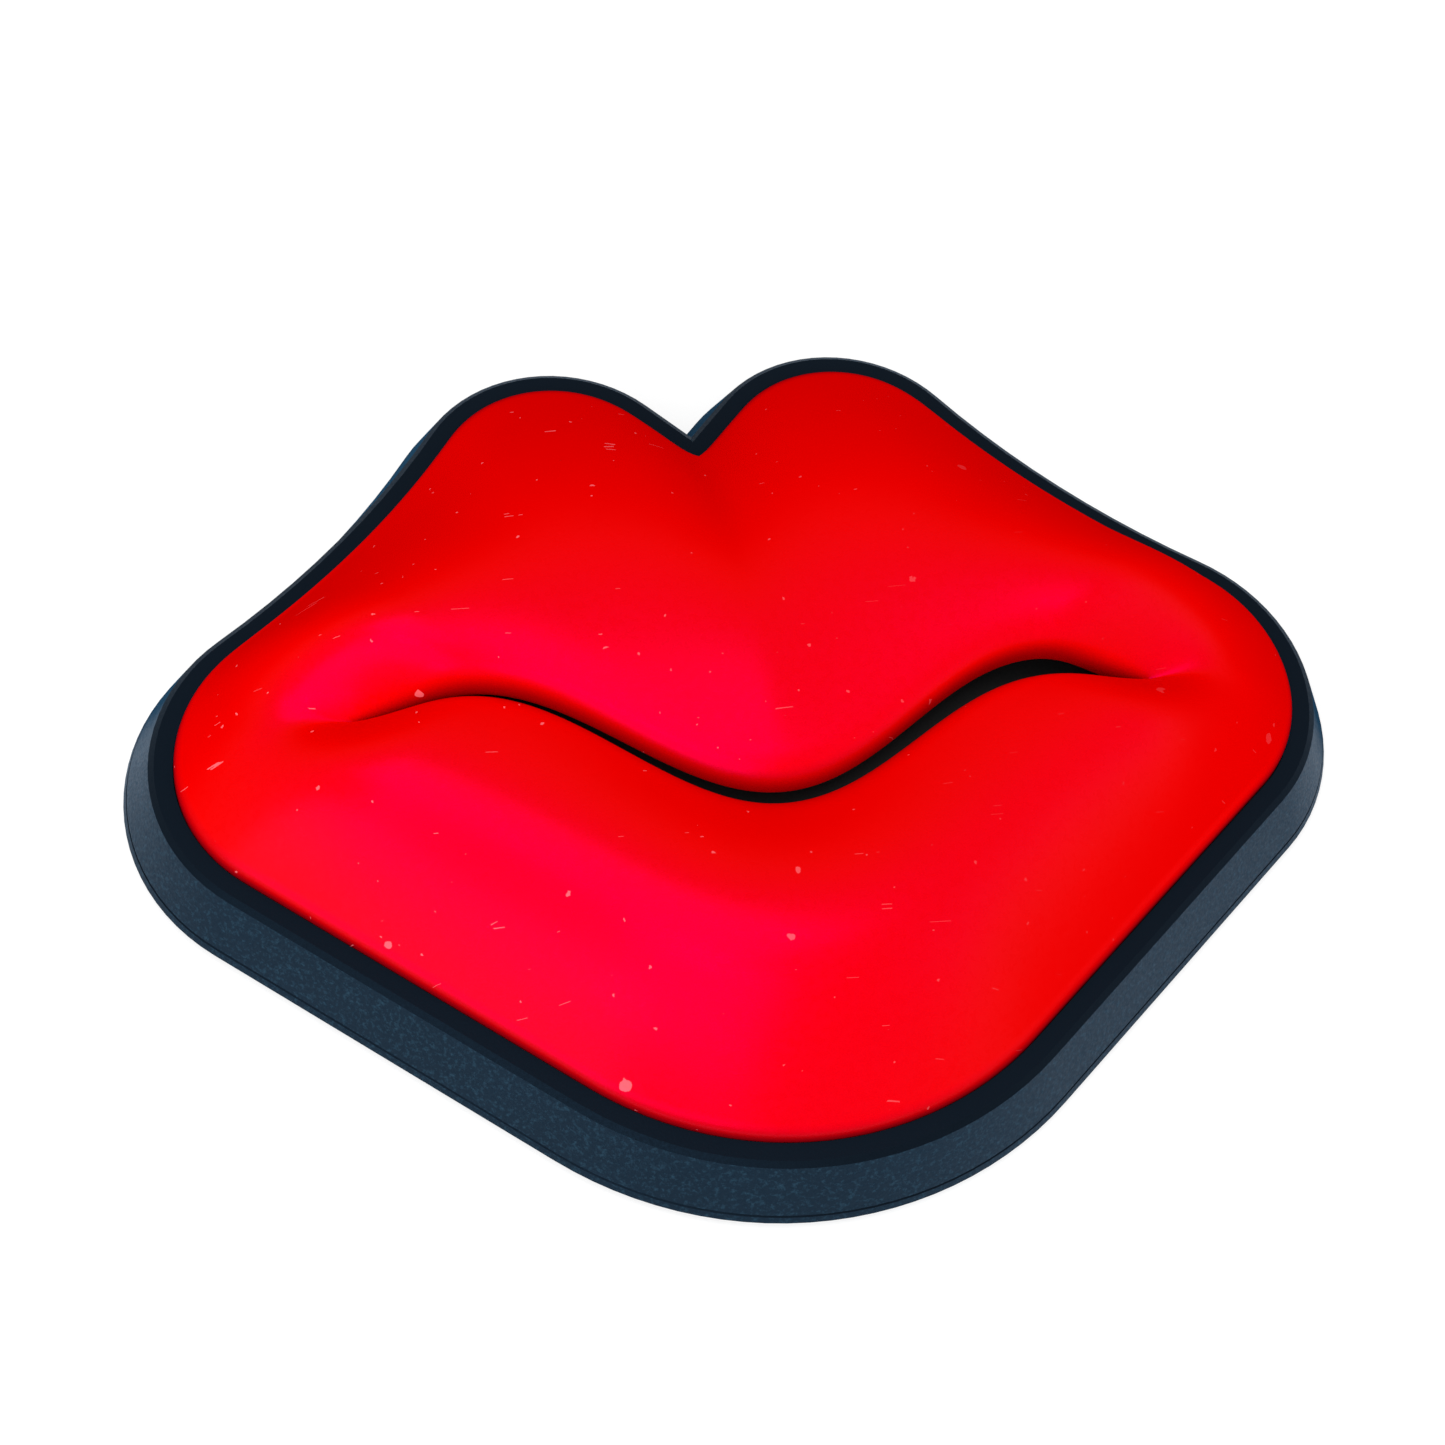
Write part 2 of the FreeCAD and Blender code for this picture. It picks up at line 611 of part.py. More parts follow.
def mouth_liner():
    """Black plate under the slit, following the mouth line and pegged on the posts of the shell."""
    counts = range(-LINER_STATIONS, LINER_STATIONS + 1)
    stations = [LINER_HALF_WIDTH * count / LINER_STATIONS for count in counts]
    upper = Part.BSplineCurve()
    upper.interpolate([V(x, mouth_y(x) + LINER_HALF_BAND, LINER_TOP) for x in stations])
    lower = Part.BSplineCurve()
    lower.interpolate([V(x, mouth_y(x) - LINER_HALF_BAND, LINER_TOP) for x in stations])
    ends = [Part.LineSegment(lower.value(t), upper.value(t)).toShape()
            for t in (upper.FirstParameter, upper.LastParameter)]
    wire = Part.Wire(Part.__sortEdges__([upper.toShape(), lower.toShape()] + ends))
    plate = Part.Face(wire).extrude(V(0, 0, -LINER_THICKNESS))
    holes = [rod(x, y, LINER_PEG_RADIUS + SCREW_GAP, LINER_TOP - LINER_THICKNESS, LINER_TOP)
             for x, y in liner_posts()]
    return plate.cut(holes)


# Bottom plate

def grille(x, y, pitch, rings, radius):
    """Holes in rings round a centre hole, six more in each ring."""
    holes = [rod(x, y, radius, 0.0, WELL_TOP)]
    for ring in range(1, rings + 1):
        for index in range(6 * ring):
            angle = math.pi * index / (3 * ring)
            place = polar(V(x, y, 0), ring * pitch, angle)
            holes.append(rod(place.x, place.y, radius, 0.0, WELL_TOP))
    return holes


def key_places():
    """Name, place and length of each key; the rows run from the ear end to the voice end."""
    keys = []
    for x, names in zip(KEY_ROWS, KEY_NAMES):
        keys += [("key_" + name, x, y, KEY_LENGTH) for name, y in zip(names, KEY_COLUMNS)]
    keys += [("key_" + name, FUNCTION_ROW, y, FUNCTION_KEY_LENGTH)
             for name, y in zip(FUNCTION_NAMES, KEY_COLUMNS)]
    return keys


def board_screw_places():
    xs = (BOARD_LOW_X + BOARD_BOSS_INSET, BOARD_HIGH_X - BOARD_BOSS_INSET)
    return [(x, sign * (BOARD_HALF_Y - BOARD_BOSS_INSET)) for x in xs for sign in (1, -1)]


def bracket_screw_places():
    """Small screws of the receiver retainer and the hook bracket, with the level that they seat on."""
    places = [(RECEIVER_X, sign * RETAINER_REACH, RETAINER_TOP) for sign in (1, -1)]
    places += [(HOOK_X, sign * HOOK_BOSS_REACH, HOOK_BRACKET_TOP) for sign in (1, -1)]
    return places


def switch_places():
    return [("ringer", -SWITCH_X), ("tone", SWITCH_X)]


def plate_bosses():
    """Everything that stands on the inner face of the plate."""
    wide = WELL_HIGH_X - WELL_LOW_X + 2 * WELL_WALL
    bosses = [rounded_block(WELL_MIDDLE_X, 0.0, wide, 2 * (WELL_HALF_Y + WELL_WALL), WELL_CORNER + WELL_WALL,
                            PLATE_BOTTOM + WELL_WALL, WELL_TOP)]
    bosses += [rod(x, y, CASE_BOSS_RADIUS, PLATE_TOP, PILLAR_BOTTOM)
               for x, y in both_sides(CASE_SCREW_PLACES)]
    bosses += [rod(x, y, BOARD_BOSS_RADIUS, PLATE_TOP, BOARD_BOTTOM) for x, y in board_screw_places()]
    bosses += [rod(RECEIVER_X, sign * RETAINER_REACH, RETAINER_BOSS_RADIUS, PLATE_TOP, RECEIVER_TOP)
               for sign in (1, -1)]
    bosses += [rod(HOOK_X, sign * HOOK_BOSS_REACH, HOOK_BOSS_RADIUS, PLATE_TOP, HOOK_BRACKET_BOTTOM)
               for sign in (1, -1)]
    bosses += [rod(sign * BALLAST_PEG_X, BALLAST_Y, BALLAST_PEG_RADIUS, PLATE_TOP,
                   PLATE_TOP + BALLAST_THICKNESS + BALLAST_PEG_RADIUS) for sign in (1, -1)]
    receiver_room = RECEIVER_RADIUS + SLIDE_GAP
    bosses.append(tube(RECEIVER_X, 0.0, receiver_room + RECEIVER_RIB, receiver_room,
                       PLATE_TOP, PLATE_TOP + RECEIVER_RIB_HEIGHT))
    boot_room = MICROPHONE_RADIUS + BOOT_WALL + SEAT_GAP
    bosses.append(tube(MICROPHONE_X, 0.0, boot_room + BOOT_RIB, boot_room,
                       PLATE_TOP, PLATE_TOP + BOOT_RIB_HEIGHT))
    bosses.append(rod(HOOK_X, 0.0, HOOK_RADIUS + SLIDE_GAP + HOOK_COLLAR_WALL, PLATE_TOP, HOOK_COLLAR_TOP))
    ringer_room = RINGER_RADIUS + SEAT_GAP
    bosses.append(tube(-PEAK_X, RINGER_Y, ringer_room + RINGER_WALL, ringer_room,
                       PLATE_TOP, PLATE_TOP + RINGER_HEIGHT / 2))
    return bosses


def plate_cuts():
    """Everything cut through or into the plate."""
    cuts = [rounded_block(WELL_MIDDLE_X, 0.0, WELL_HIGH_X - WELL_LOW_X, 2 * WELL_HALF_Y, WELL_CORNER,
                          0.0, WELL_CEILING)]
    for name, x, y, length in key_places():
        cuts.append(rounded_block(x, y, length + 2 * KEY_GAP, KEY_WIDTH + 2 * KEY_GAP, KEY_CORNER + KEY_GAP,
                                  WELL_CEILING - KEY_GAP, WELL_TOP + KEY_GAP))
    for x, y in both_sides(CASE_SCREW_PLACES):
        cuts.append(rod(x, y, CASE_SCREW_HEAD_RADIUS + SLIDE_GAP, 0.0, SCREW_SEAT))
        cuts.append(rod(x, y, CASE_SCREW_RADIUS + SCREW_GAP, 0.0, PILLAR_BOTTOM))
    pilot = SMALL_SCREW_RADIUS + SCREW_GAP
    for x, y in board_screw_places():
        cuts.append(rod(x, y, pilot, BOARD_TOP - SMALL_SCREW_LENGTH - SCREW_GAP, BOARD_TOP))
    for x, y, seat in bracket_screw_places():
        cuts.append(rod(x, y, pilot, seat - SMALL_SCREW_LENGTH - SCREW_GAP, seat))
    cuts += grille(RECEIVER_X, 0.0, GRILLE_RING_PITCH, GRILLE_RINGS, GRILLE_HOLE_RADIUS)
    cuts.append(Part.makeCone(DISH_RADIUS, DISH_RADIUS - 2 * DISH_DEPTH, DISH_DEPTH,
                              V(RECEIVER_X, 0, PLATE_BOTTOM)))
    cuts += [rod(MICROPHONE_X, index * VOICE_HOLE_PITCH, VOICE_HOLE_RADIUS, 0.0, PLATE_TOP)
             for index in (-1, 0, 1)]
    cuts.append(rod(HOOK_X, 0.0, HOOK_RADIUS + SLIDE_GAP, 0.0, HOOK_COLLAR_TOP))
    cuts += grille(-PEAK_X, RINGER_Y, RINGER_HOLE_PITCH, 1, RINGER_HOLE_RADIUS)
    for name, x in switch_places():
        slot_length = SWITCH_KNOB_LENGTH + SWITCH_TRAVEL + 2 * SLIDE_GAP
        slot_width = SWITCH_KNOB_WIDTH + 2 * SLIDE_GAP
        cuts.append(block(x, SWITCH_Y, slot_length, slot_width, 0.0, PLATE_TOP))
        cuts.append(rounded_block(x, SWITCH_Y, slot_length + 2 * SWITCH_POCKET_MARGIN,
                                  slot_width + 2 * SWITCH_POCKET_MARGIN, SWITCH_POCKET_MARGIN,
                                  0.0, PLATE_BOTTOM + SWITCH_POCKET_DEPTH))
    cuts += [rod(x, y, FOOT_RADIUS + SEAT_GAP, 0.0, PLATE_BOTTOM + FOOT_SINK)
             for x, y in both_sides(FOOT_PLACES)]
    cuts.append(jack_room())
    return cuts


def bottom_plate():
    floor = sloped([
        (flare(PLATE_BOTTOM) - EDGE_BEVEL, PLATE_BOTTOM),
        (flare(PLATE_BOTTOM + EDGE_BEVEL), PLATE_BOTTOM + EDGE_BEVEL),
        (flare(PLATE_TOP - PARTING_STEP), PLATE_TOP - PARTING_STEP),
        (flare(PLATE_TOP) - PARTING_STEP, PLATE_TOP)])
    low = flare(PLATE_TOP) - FRAME_WALL - SKIRT_GAP
    high = flare(PLATE_TOP + TONGUE_HEIGHT) - FRAME_WALL - SKIRT_GAP
    tongue = sloped([(low, PLATE_TOP), (high, PLATE_TOP + TONGUE_HEIGHT)])
    tongue_core = sloped([(low - TONGUE_WIDTH, PLATE_TOP), (high - TONGUE_WIDTH, PLATE_TOP + TONGUE_HEIGHT)])
    whole = floor.fuse([tongue.cut(tongue_core)] + plate_bosses())
    return whole.cut(plate_cuts()).removeSplitter()


# Keys

def key_cap(x, y, length):
    """Key with a rounded cap below and a flange inside that stops it in its window."""
    low = WELL_CEILING - KEY_SHOWN
    cap = rounded_block(x, y, length, KEY_WIDTH, KEY_CORNER, low, KEY_TOP)
    face = [edge for edge in cap.Edges if edge.BoundBox.ZMax < low + SEAT_GAP]
    cap = cap.makeFillet(KEY_FACE_ROUND, face)
    flange = rounded_block(x, y, length + 2 * KEY_FLANGE, KEY_WIDTH + 2 * KEY_FLANGE, KEY_CORNER,
                           WELL_TOP + SEAT_GAP, KEY_TOP)
    return cap.fuse(flange).removeSplitter()


def keypad_mat():
    """Rubber sheet under the board with one hollow dome over each key."""
    sheet_bottom = BOARD_BOTTOM - MAT_SHEET
    sheet = box(WELL_LOW_X + MAT_MARGIN, WELL_HIGH_X - MAT_MARGIN, MAT_MARGIN - WELL_HALF_Y,
                WELL_HALF_Y - MAT_MARGIN, sheet_bottom, BOARD_BOTTOM)
    tip = KEY_TOP + SEAT_GAP
    domes = []
    chambers = []
    for name, x, y, length in key_places():
        domes.append(Part.makeCone(DOME_TIP_RADIUS, DOME_RADIUS, sheet_bottom - tip, V(x, y, tip)))
        chambers.append(rod(x, y, DOME_CHAMBER_RADIUS, BOARD_BOTTOM - DOME_CHAMBER_DEPTH, BOARD_BOTTOM))
    return sheet.fuse(domes).cut(chambers).removeSplitter()


# Circuit board and its parts

def main_board():
    board = box(BOARD_LOW_X, BOARD_HIGH_X, -BOARD_HALF_Y, BOARD_HALF_Y, BOARD_BOTTOM, BOARD_TOP)
    holes = [rod(x, y, SMALL_SCREW_RADIUS + SCREW_GAP, BOARD_BOTTOM, BOARD_TOP)
             for x, y in board_screw_places()]
    return board.cut(holes)


def chip(place, pins):
    """Dual in-line chip with its legs standing on the board."""
    x, y = place
    per_side = pins // 2
    length = (per_side - 1) * CHIP_PITCH + 2 * CHIP_END
    low = BOARD_TOP + CHIP_STANDOFF
    body = block(x, y, length, CHIP_WIDTH, low, low + CHIP_HEIGHT)
    shoulder = low + CHIP_HEIGHT / 2
    legs = []
    for index in range(per_side):
        leg_x = x + (index - (per_side - 1) / 2) * CHIP_PITCH
        for sign in (1, -1):
            inner = sign * CHIP_WIDTH / 2
            outer = sign * (CHIP_ROW / 2 + CHIP_LEG / 2)
            low_y, high_y = sorted((y + inner, y + outer))
            legs.append(box(leg_x - CHIP_LEG / 2, leg_x + CHIP_LEG / 2, low_y, high_y, BOARD_TOP, shoulder))
    return body.fuse(legs).removeSplitter()


def capacitors():
    return Part.Compound([rod(x, y, radius, BOARD_TOP, BOARD_TOP + height)
                          for (x, y), (radius, height) in zip(CAPACITOR_PLACES, CAPACITOR_SIZES)])


def timing_crystal():
    return rounded_block(CRYSTAL_PLACE[0], CRYSTAL_PLACE[1], CRYSTAL_LENGTH, CRYSTAL_WIDTH,
                         CRYSTAL_WIDTH / 2 - SEAT_GAP, BOARD_TOP, BOARD_TOP + CRYSTAL_HEIGHT)


def line_diodes():
    """Row of diodes lying on the board, each with a flat underside."""
    diodes = []
    for index in range(DIODE_COUNT):
        x = DIODE_PLACE[0] + (index - (DIODE_COUNT - 1) / 2) * DIODE_PITCH
        start = V(x, DIODE_PLACE[1] - DIODE_LENGTH / 2, BOARD_TOP + DIODE_RADIUS)
        diodes.append(Part.makeCylinder(DIODE_RADIUS, DIODE_LENGTH, start, V(0, 1, 0)))
    return Part.Compound(diodes)


def header_places():
    """Sockets on the board edge for the receiver, microphone, ringer and jack leads."""
    return {
        "receiver": (BOARD_LOW_X + HEADER_INSET, RECEIVER_LEAD_Y),
        "microphone": (BOARD_HIGH_X - HEADER_INSET, MICROPHONE_LEAD_Y),
        "ringer": (RINGER_LEAD_X, BOARD_HALF_Y - HEADER_INSET),
        "jack": (PEAK_X, BOARD_HALF_Y - HEADER_INSET),
    }


def lead_headers():
    return Part.Compound([block(x, y, HEADER_SIDE, HEADER_SIDE, BOARD_TOP, HEADER_TOP)
                          for x, y in header_places().values()])


def lead(name, stops, end):
    """Wire from a board socket up, along the stops at one level, and down to its end."""
    x, y = header_places()[name]
    points = [V(x, y, HEADER_TOP), V(x, y, LEAD_LEVEL)]
    points += [V(stop_x, stop_y, LEAD_LEVEL) for stop_x, stop_y in stops]
    points += [V(end[0], end[1], LEAD_LEVEL), V(*end)]
    edges = []
    start = points[0]
    for before, corner, after in zip(points, points[1:], points[2:]):
        back = V(before - corner).normalize()
        ahead = V(after - corner).normalize()
        half = back.getAngle(ahead) / 2
        shortest = min((before - corner).Length, (after - corner).Length)
        cut = min(LEAD_BEND / math.tan(half), LEAD_LEG_SHARE * shortest)
        into = corner + back * cut
        out = corner + ahead * cut
        bulge = corner + V(back + ahead).normalize() * (cut / math.cos(half) - cut * math.tan(half))
        edges.append(Part.LineSegment(start, into).toShape())
        edges.append(Part.Arc(into, bulge, out).toShape())
        start = out
    edges.append(Part.LineSegment(start, points[-1]).toShape())
    path = Part.Wire(edges)
    profile = Part.Wire(Part.makeCircle(LEAD_RADIUS, points[0], UP))
    return path.makePipeShell([profile], True, True)


def receiver_leads():
    return lead("receiver", [], (RECEIVER_X + RECEIVER_LEAD_REACH, RECEIVER_LEAD_Y, RECEIVER_TOP))


def microphone_leads():
    return lead("microphone", [MICROPHONE_LEAD_TURN], (MICROPHONE_X, 0.0, MICROPHONE_TOP))


def ringer_leads():
    return lead("ringer", [], (RINGER_LEAD_X, RINGER_Y - RINGER_LEAD_INSET, RINGER_TOP))


def jack_leads():
    return lead("jack", [], (PEAK_X, JACK_FACE_Y - JACK_LENGTH + JACK_LEAD_INSET, JACK_TOP))


# Earpiece and microphone

def receiver_gasket():
    return tube(RECEIVER_X, 0.0, RECEIVER_RADIUS, RECEIVER_RADIUS - GASKET_WIDTH, PLATE_TOP, GASKET_TOP)


def receiver_capsule():
    body = rod(RECEIVER_X, 0.0, RECEIVER_RADIUS, GASKET_TOP, RECEIVER_TOP)
    back = [edge for edge in body.Edges if edge.BoundBox.ZMin > RECEIVER_TOP - SEAT_GAP]
    return body.makeChamfer(RECEIVER_BEVEL, back)


def strap(x, reach, width, ends, low_z, high_z):
    """Bar across a part, with a screw hole at each end."""
    bar = block(x, 0.0, width, 2 * (reach + ends), low_z, high_z)
    holes = [rod(x, sign * reach, SMALL_SCREW_RADIUS + SCREW_GAP, low_z, high_z) for sign in (1, -1)]
    return bar.cut(holes)


def receiver_retainer():
    return strap(RECEIVER_X, RETAINER_REACH, RETAINER_WIDTH, RETAINER_BOSS_RADIUS, RECEIVER_TOP, RETAINER_TOP)


def microphone_boot():
    outer = MICROPHONE_RADIUS + BOOT_WALL
    boot = rod(MICROPHONE_X, 0.0, outer, PLATE_TOP, MICROPHONE_TOP)
    room = rod(MICROPHONE_X, 0.0, MICROPHONE_RADIUS + SEAT_GAP, PLATE_TOP + BOOT_FLOOR, MICROPHONE_TOP)
    mouth = rod(MICROPHONE_X, 0.0, VOICE_HOLE_PITCH + VOICE_HOLE_RADIUS, PLATE_TOP, MICROPHONE_TOP)
    return boot.cut([room, mouth])


def microphone_capsule():
    return rod(MICROPHONE_X, 0.0, MICROPHONE_RADIUS, PLATE_TOP + BOOT_FLOOR, MICROPHONE_TOP)


# Ringer

def ringer_case():
    """Drum open towards the plate, with a step inside that carries the disc."""
    drum = rod(-PEAK_X, RINGER_Y, RINGER_RADIUS, PLATE_TOP, RINGER_TOP)
    wide = rod(-PEAK_X, RINGER_Y, RINGER_DISC_RADIUS + SCREW_GAP, PLATE_TOP, PLATE_TOP + RINGER_STEP)
    narrow = rod(-PEAK_X, RINGER_Y, RINGER_DISC_RADIUS - RINGER_WALL, PLATE_TOP, RINGER_TOP - RINGER_WALL)
    return drum.cut([wide, narrow])


def ringer_disc():
    top = PLATE_TOP + RINGER_STEP
    return rod(-PEAK_X, RINGER_Y, RINGER_DISC_RADIUS, top - RINGER_DISC_THICKNESS, top)


# Hook switch

def hook_plunger():
    tip = rod(HOOK_X, 0.0, HOOK_RADIUS, 0.0, HOOK_FLANGE_TOP)
    rim = [edge for edge in tip.Edges if edge.BoundBox.ZMax < SEAT_GAP]
    tip = tip.makeFillet(HOOK_TIP_ROUND, rim)
    flange = rod(HOOK_X, 0.0, HOOK_FLANGE_RADIUS, HOOK_FLANGE_BOTTOM, HOOK_FLANGE_TOP)
    switch_bottom = HOOK_BRACKET_BOTTOM - HOOK_SWITCH_HEIGHT
    stub = rod(HOOK_X, 0.0, HOOK_STUB_RADIUS, HOOK_FLANGE_TOP, switch_bottom - SEAT_GAP)
    return tip.fuse([flange, stub]).removeSplitter()


def hook_spring():
    """Round-wire spring between the flange of the plunger and the bracket."""
    low = HOOK_FLANGE_TOP + HOOK_SPRING_WIRE / 2 + SEAT_GAP
    rise = HOOK_SPRING_LENGTH - HOOK_SPRING_WIRE - 2 * SEAT_GAP
    mean = HOOK_SPRING_RADIUS - HOOK_SPRING_WIRE / 2
    path = Part.Wire(Part.makeHelix(rise / HOOK_SPRING_TURNS, rise, mean))
    profile = Part.Wire(Part.makeCircle(HOOK_SPRING_WIRE / 2, V(mean, 0, 0), V(0, 1, 0)))
    coil = path.makePipeShell([profile], True, True)
    coil.translate(V(HOOK_X, 0, low))
    return coil


def hook_bracket():
    return strap(HOOK_X, HOOK_BOSS_REACH, HOOK_BRACKET_WIDTH, HOOK_BOSS_RADIUS,
                 HOOK_BRACKET_BOTTOM, HOOK_BRACKET_TOP)


def hook_switch():
    return block(HOOK_X, 0.0, HOOK_SWITCH_SIDE, HOOK_SWITCH_SIDE,
                 HOOK_BRACKET_BOTTOM - HOOK_SWITCH_HEIGHT, HOOK_BRACKET_BOTTOM)


# Slide switches

def switch_knob(x):
    """Knob at the ear end of its slot, with thumb ridges below and a stem up into the switch."""
    left = x - SWITCH_TRAVEL / 2
    low = PLATE_BOTTOM + SWITCH_POCKET_DEPTH
    knob = block(left, SWITCH_Y, SWITCH_KNOB_LENGTH, SWITCH_KNOB_WIDTH, low, PLATE_TOP - SEAT_GAP)
    pitch = SWITCH_KNOB_LENGTH / SWITCH_KNOB_RIDGES
    ridge_bottom = PLATE_BOTTOM + SWITCH_RIDGE_SINK
    ridges = []
    for index in range(SWITCH_KNOB_RIDGES):
        ridge_x = left + (index - (SWITCH_KNOB_RIDGES - 1) / 2) * pitch
        ridges.append(block(ridge_x, SWITCH_Y, pitch / 2, SWITCH_KNOB_WIDTH, ridge_bottom, low))
    stem = block(left, SWITCH_Y, SWITCH_STEM, SWITCH_STEM, low, PLATE_TOP + SWITCH_STEM_RISE)
    return knob.fuse(ridges + [stem]).removeSplitter()


def switch_body(x):
    """Switch on the plate, with a slot below for the stem of its knob."""
    body = block(x, SWITCH_Y, SWITCH_BODY_LENGTH, SWITCH_BODY_WIDTH,
                 PLATE_TOP, PLATE_TOP + SWITCH_BODY_HEIGHT)
    slot = block(x, SWITCH_Y, SWITCH_STEM + SWITCH_TRAVEL + 2 * SLIDE_GAP, SWITCH_STEM + 2 * SLIDE_GAP,
                 PLATE_TOP, PLATE_TOP + SWITCH_STEM_RISE + SLIDE_GAP)
    return body.cut(slot)


# Line jack

def line_jack():
    body = box(PEAK_X - JACK_WIDTH / 2, PEAK_X + JACK_WIDTH / 2, JACK_FACE_Y - JACK_LENGTH, JACK_FACE_Y,
               JACK_BOTTOM, JACK_TOP)
    inner = JACK_FACE_Y - JACK_SOCKET_DEPTH
    socket = box(PEAK_X - JACK_SOCKET_WIDTH / 2, PEAK_X + JACK_SOCKET_WIDTH / 2, inner, JACK_FACE_Y,
                 JACK_SOCKET_BOTTOM, JACK_SOCKET_TOP)
    latch = box(PEAK_X - JACK_LATCH_WIDTH / 2, PEAK_X + JACK_LATCH_WIDTH / 2, inner, JACK_FACE_Y,
                JACK_SOCKET_BOTTOM - JACK_LATCH_DEPTH, JACK_SOCKET_BOTTOM)
    return body.cut([socket, latch])


def jack_contacts():
    """Gold wires along the roof of the socket."""
    low_y = JACK_FACE_Y - JACK_SOCKET_DEPTH
    wires = []
    for index in range(JACK_WIRES):
        x = PEAK_X + (index - (JACK_WIRES - 1) / 2) * JACK_WIRE_PITCH
        wires.append(box(x - JACK_WIRE / 2, x + JACK_WIRE / 2, low_y, JACK_FACE_Y - JACK_WIRE_SINK,
                         JACK_SOCKET_TOP - JACK_WIRE, JACK_SOCKET_TOP))
    return Part.Compound(wires)


# Ballast, feet and screws

def ballast_plate():
    plate = rounded_block(0.0, BALLAST_Y, BALLAST_WIDTH, BALLAST_DEPTH, BALLAST_CORNER,
                          PLATE_TOP, PLATE_TOP + BALLAST_THICKNESS)
    holes = [rod(sign * BALLAST_PEG_X, BALLAST_Y, BALLAST_PEG_RADIUS + SEAT_GAP,
                 PLATE_TOP, PLATE_TOP + BALLAST_THICKNESS) for sign in (1, -1)]
    return plate.cut(holes)


def rubber_feet():
    feet = []
    for x, y in both_sides(FOOT_PLACES):
        foot = rod(x, y, FOOT_RADIUS, 0.0, PLATE_BOTTOM + FOOT_SINK)
        rim = [edge for edge in foot.Edges if edge.BoundBox.ZMax < SEAT_GAP]
        feet.append(foot.makeFillet(FOOT_ROUND, rim))
    return Part.Compound(feet)


def screw(x, y, seat, into, radius, head_radius, head, length):
    """Pan-head screw on a seat, driven along +Z (into 1) or -Z (into -1), with a cross slot."""
    head_low, head_high = sorted((seat, seat - into * head))
    shank_low, shank_high = sorted((seat, seat + into * length))
    solid = rod(x, y, head_radius, head_low, head_high).fuse(rod(x, y, radius, shank_low, shank_high))
    slot_low, slot_high = sorted((seat - into * head, seat - into * (head - CROSS_SLOT_DEPTH)))
    span = CROSS_SLOT_SPAN * head_radius
    slots = [block(x, y, span, CROSS_SLOT_WIDTH, slot_low, slot_high),
             block(x, y, CROSS_SLOT_WIDTH, span, slot_low, slot_high)]
    return solid.cut(slots).removeSplitter()


def small_screw(x, y, seat):
    return screw(x, y, seat, -1, SMALL_SCREW_RADIUS, SMALL_SCREW_HEAD_RADIUS,
                 SMALL_SCREW_HEAD, SMALL_SCREW_LENGTH)


def case_screws():
    screws = []
    for x, y in both_sides(CASE_SCREW_PLACES):
        screws.append(screw(x, y, SCREW_SEAT, 1, CASE_SCREW_RADIUS, CASE_SCREW_HEAD_RADIUS,
                            CASE_SCREW_HEAD, CASE_SCREW_LENGTH))
    return Part.Compound(screws)


def board_screws():
    return Part.Compound([small_screw(x, y, BOARD_TOP) for x, y in board_screw_places()])


def bracket_screws():
    return Part.Compound([small_screw(*place) for place in bracket_screw_places()])


PLAIN_PIECES = (
    lips_shell, rim_frame, bottom_plate, mouth_liner, keypad_mat, main_board, capacitors, timing_crystal,
    line_diodes, lead_headers, receiver_leads, microphone_leads, ringer_leads, jack_leads, receiver_gasket,
    receiver_capsule, receiver_retainer, microphone_boot, microphone_capsule, ringer_case, ringer_disc,
    hook_plunger, hook_spring, hook_bracket, hook_switch, line_jack, jack_contacts, ballast_plate,
    rubber_feet, case_screws, board_screws, bracket_screws)


def all_pieces():
    """Every sub-part as a pair of name and shape."""
    for maker in PLAIN_PIECES:
        yield maker.__name__, maker()
    yield "dialler_chip", chip(DIALLER_PLACE, DIALLER_PINS)
    yield "speech_chip", chip(SPEECH_PLACE, SPEECH_PINS)
    for name, x, y, length in key_places():
        yield name, key_cap(x, y, length)
    for name, x in switch_places():
        yield name + "_switch_knob", switch_knob(x)
        yield name + "_switch_body", switch_body(x)


def main():
    os.makedirs("parts", exist_ok=True)
    for name, shape in all_pieces():
        shape.exportStep(os.path.join("parts", name + ".step"))


if __name__ == "__main__":
    main()
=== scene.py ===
"""Looks of a novelty telephone shaped as a pair of lips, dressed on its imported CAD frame."""

import json
import logging
import math
from dataclasses import dataclass
from enum import Enum
from typing import Any, Sequence

import bmesh
import bpy
import numpy as np
from bpy.types import ID, Curve, Material, Mesh, Node, NodeSocket, NodeTree, Object
from mathutils import Matrix, Vector


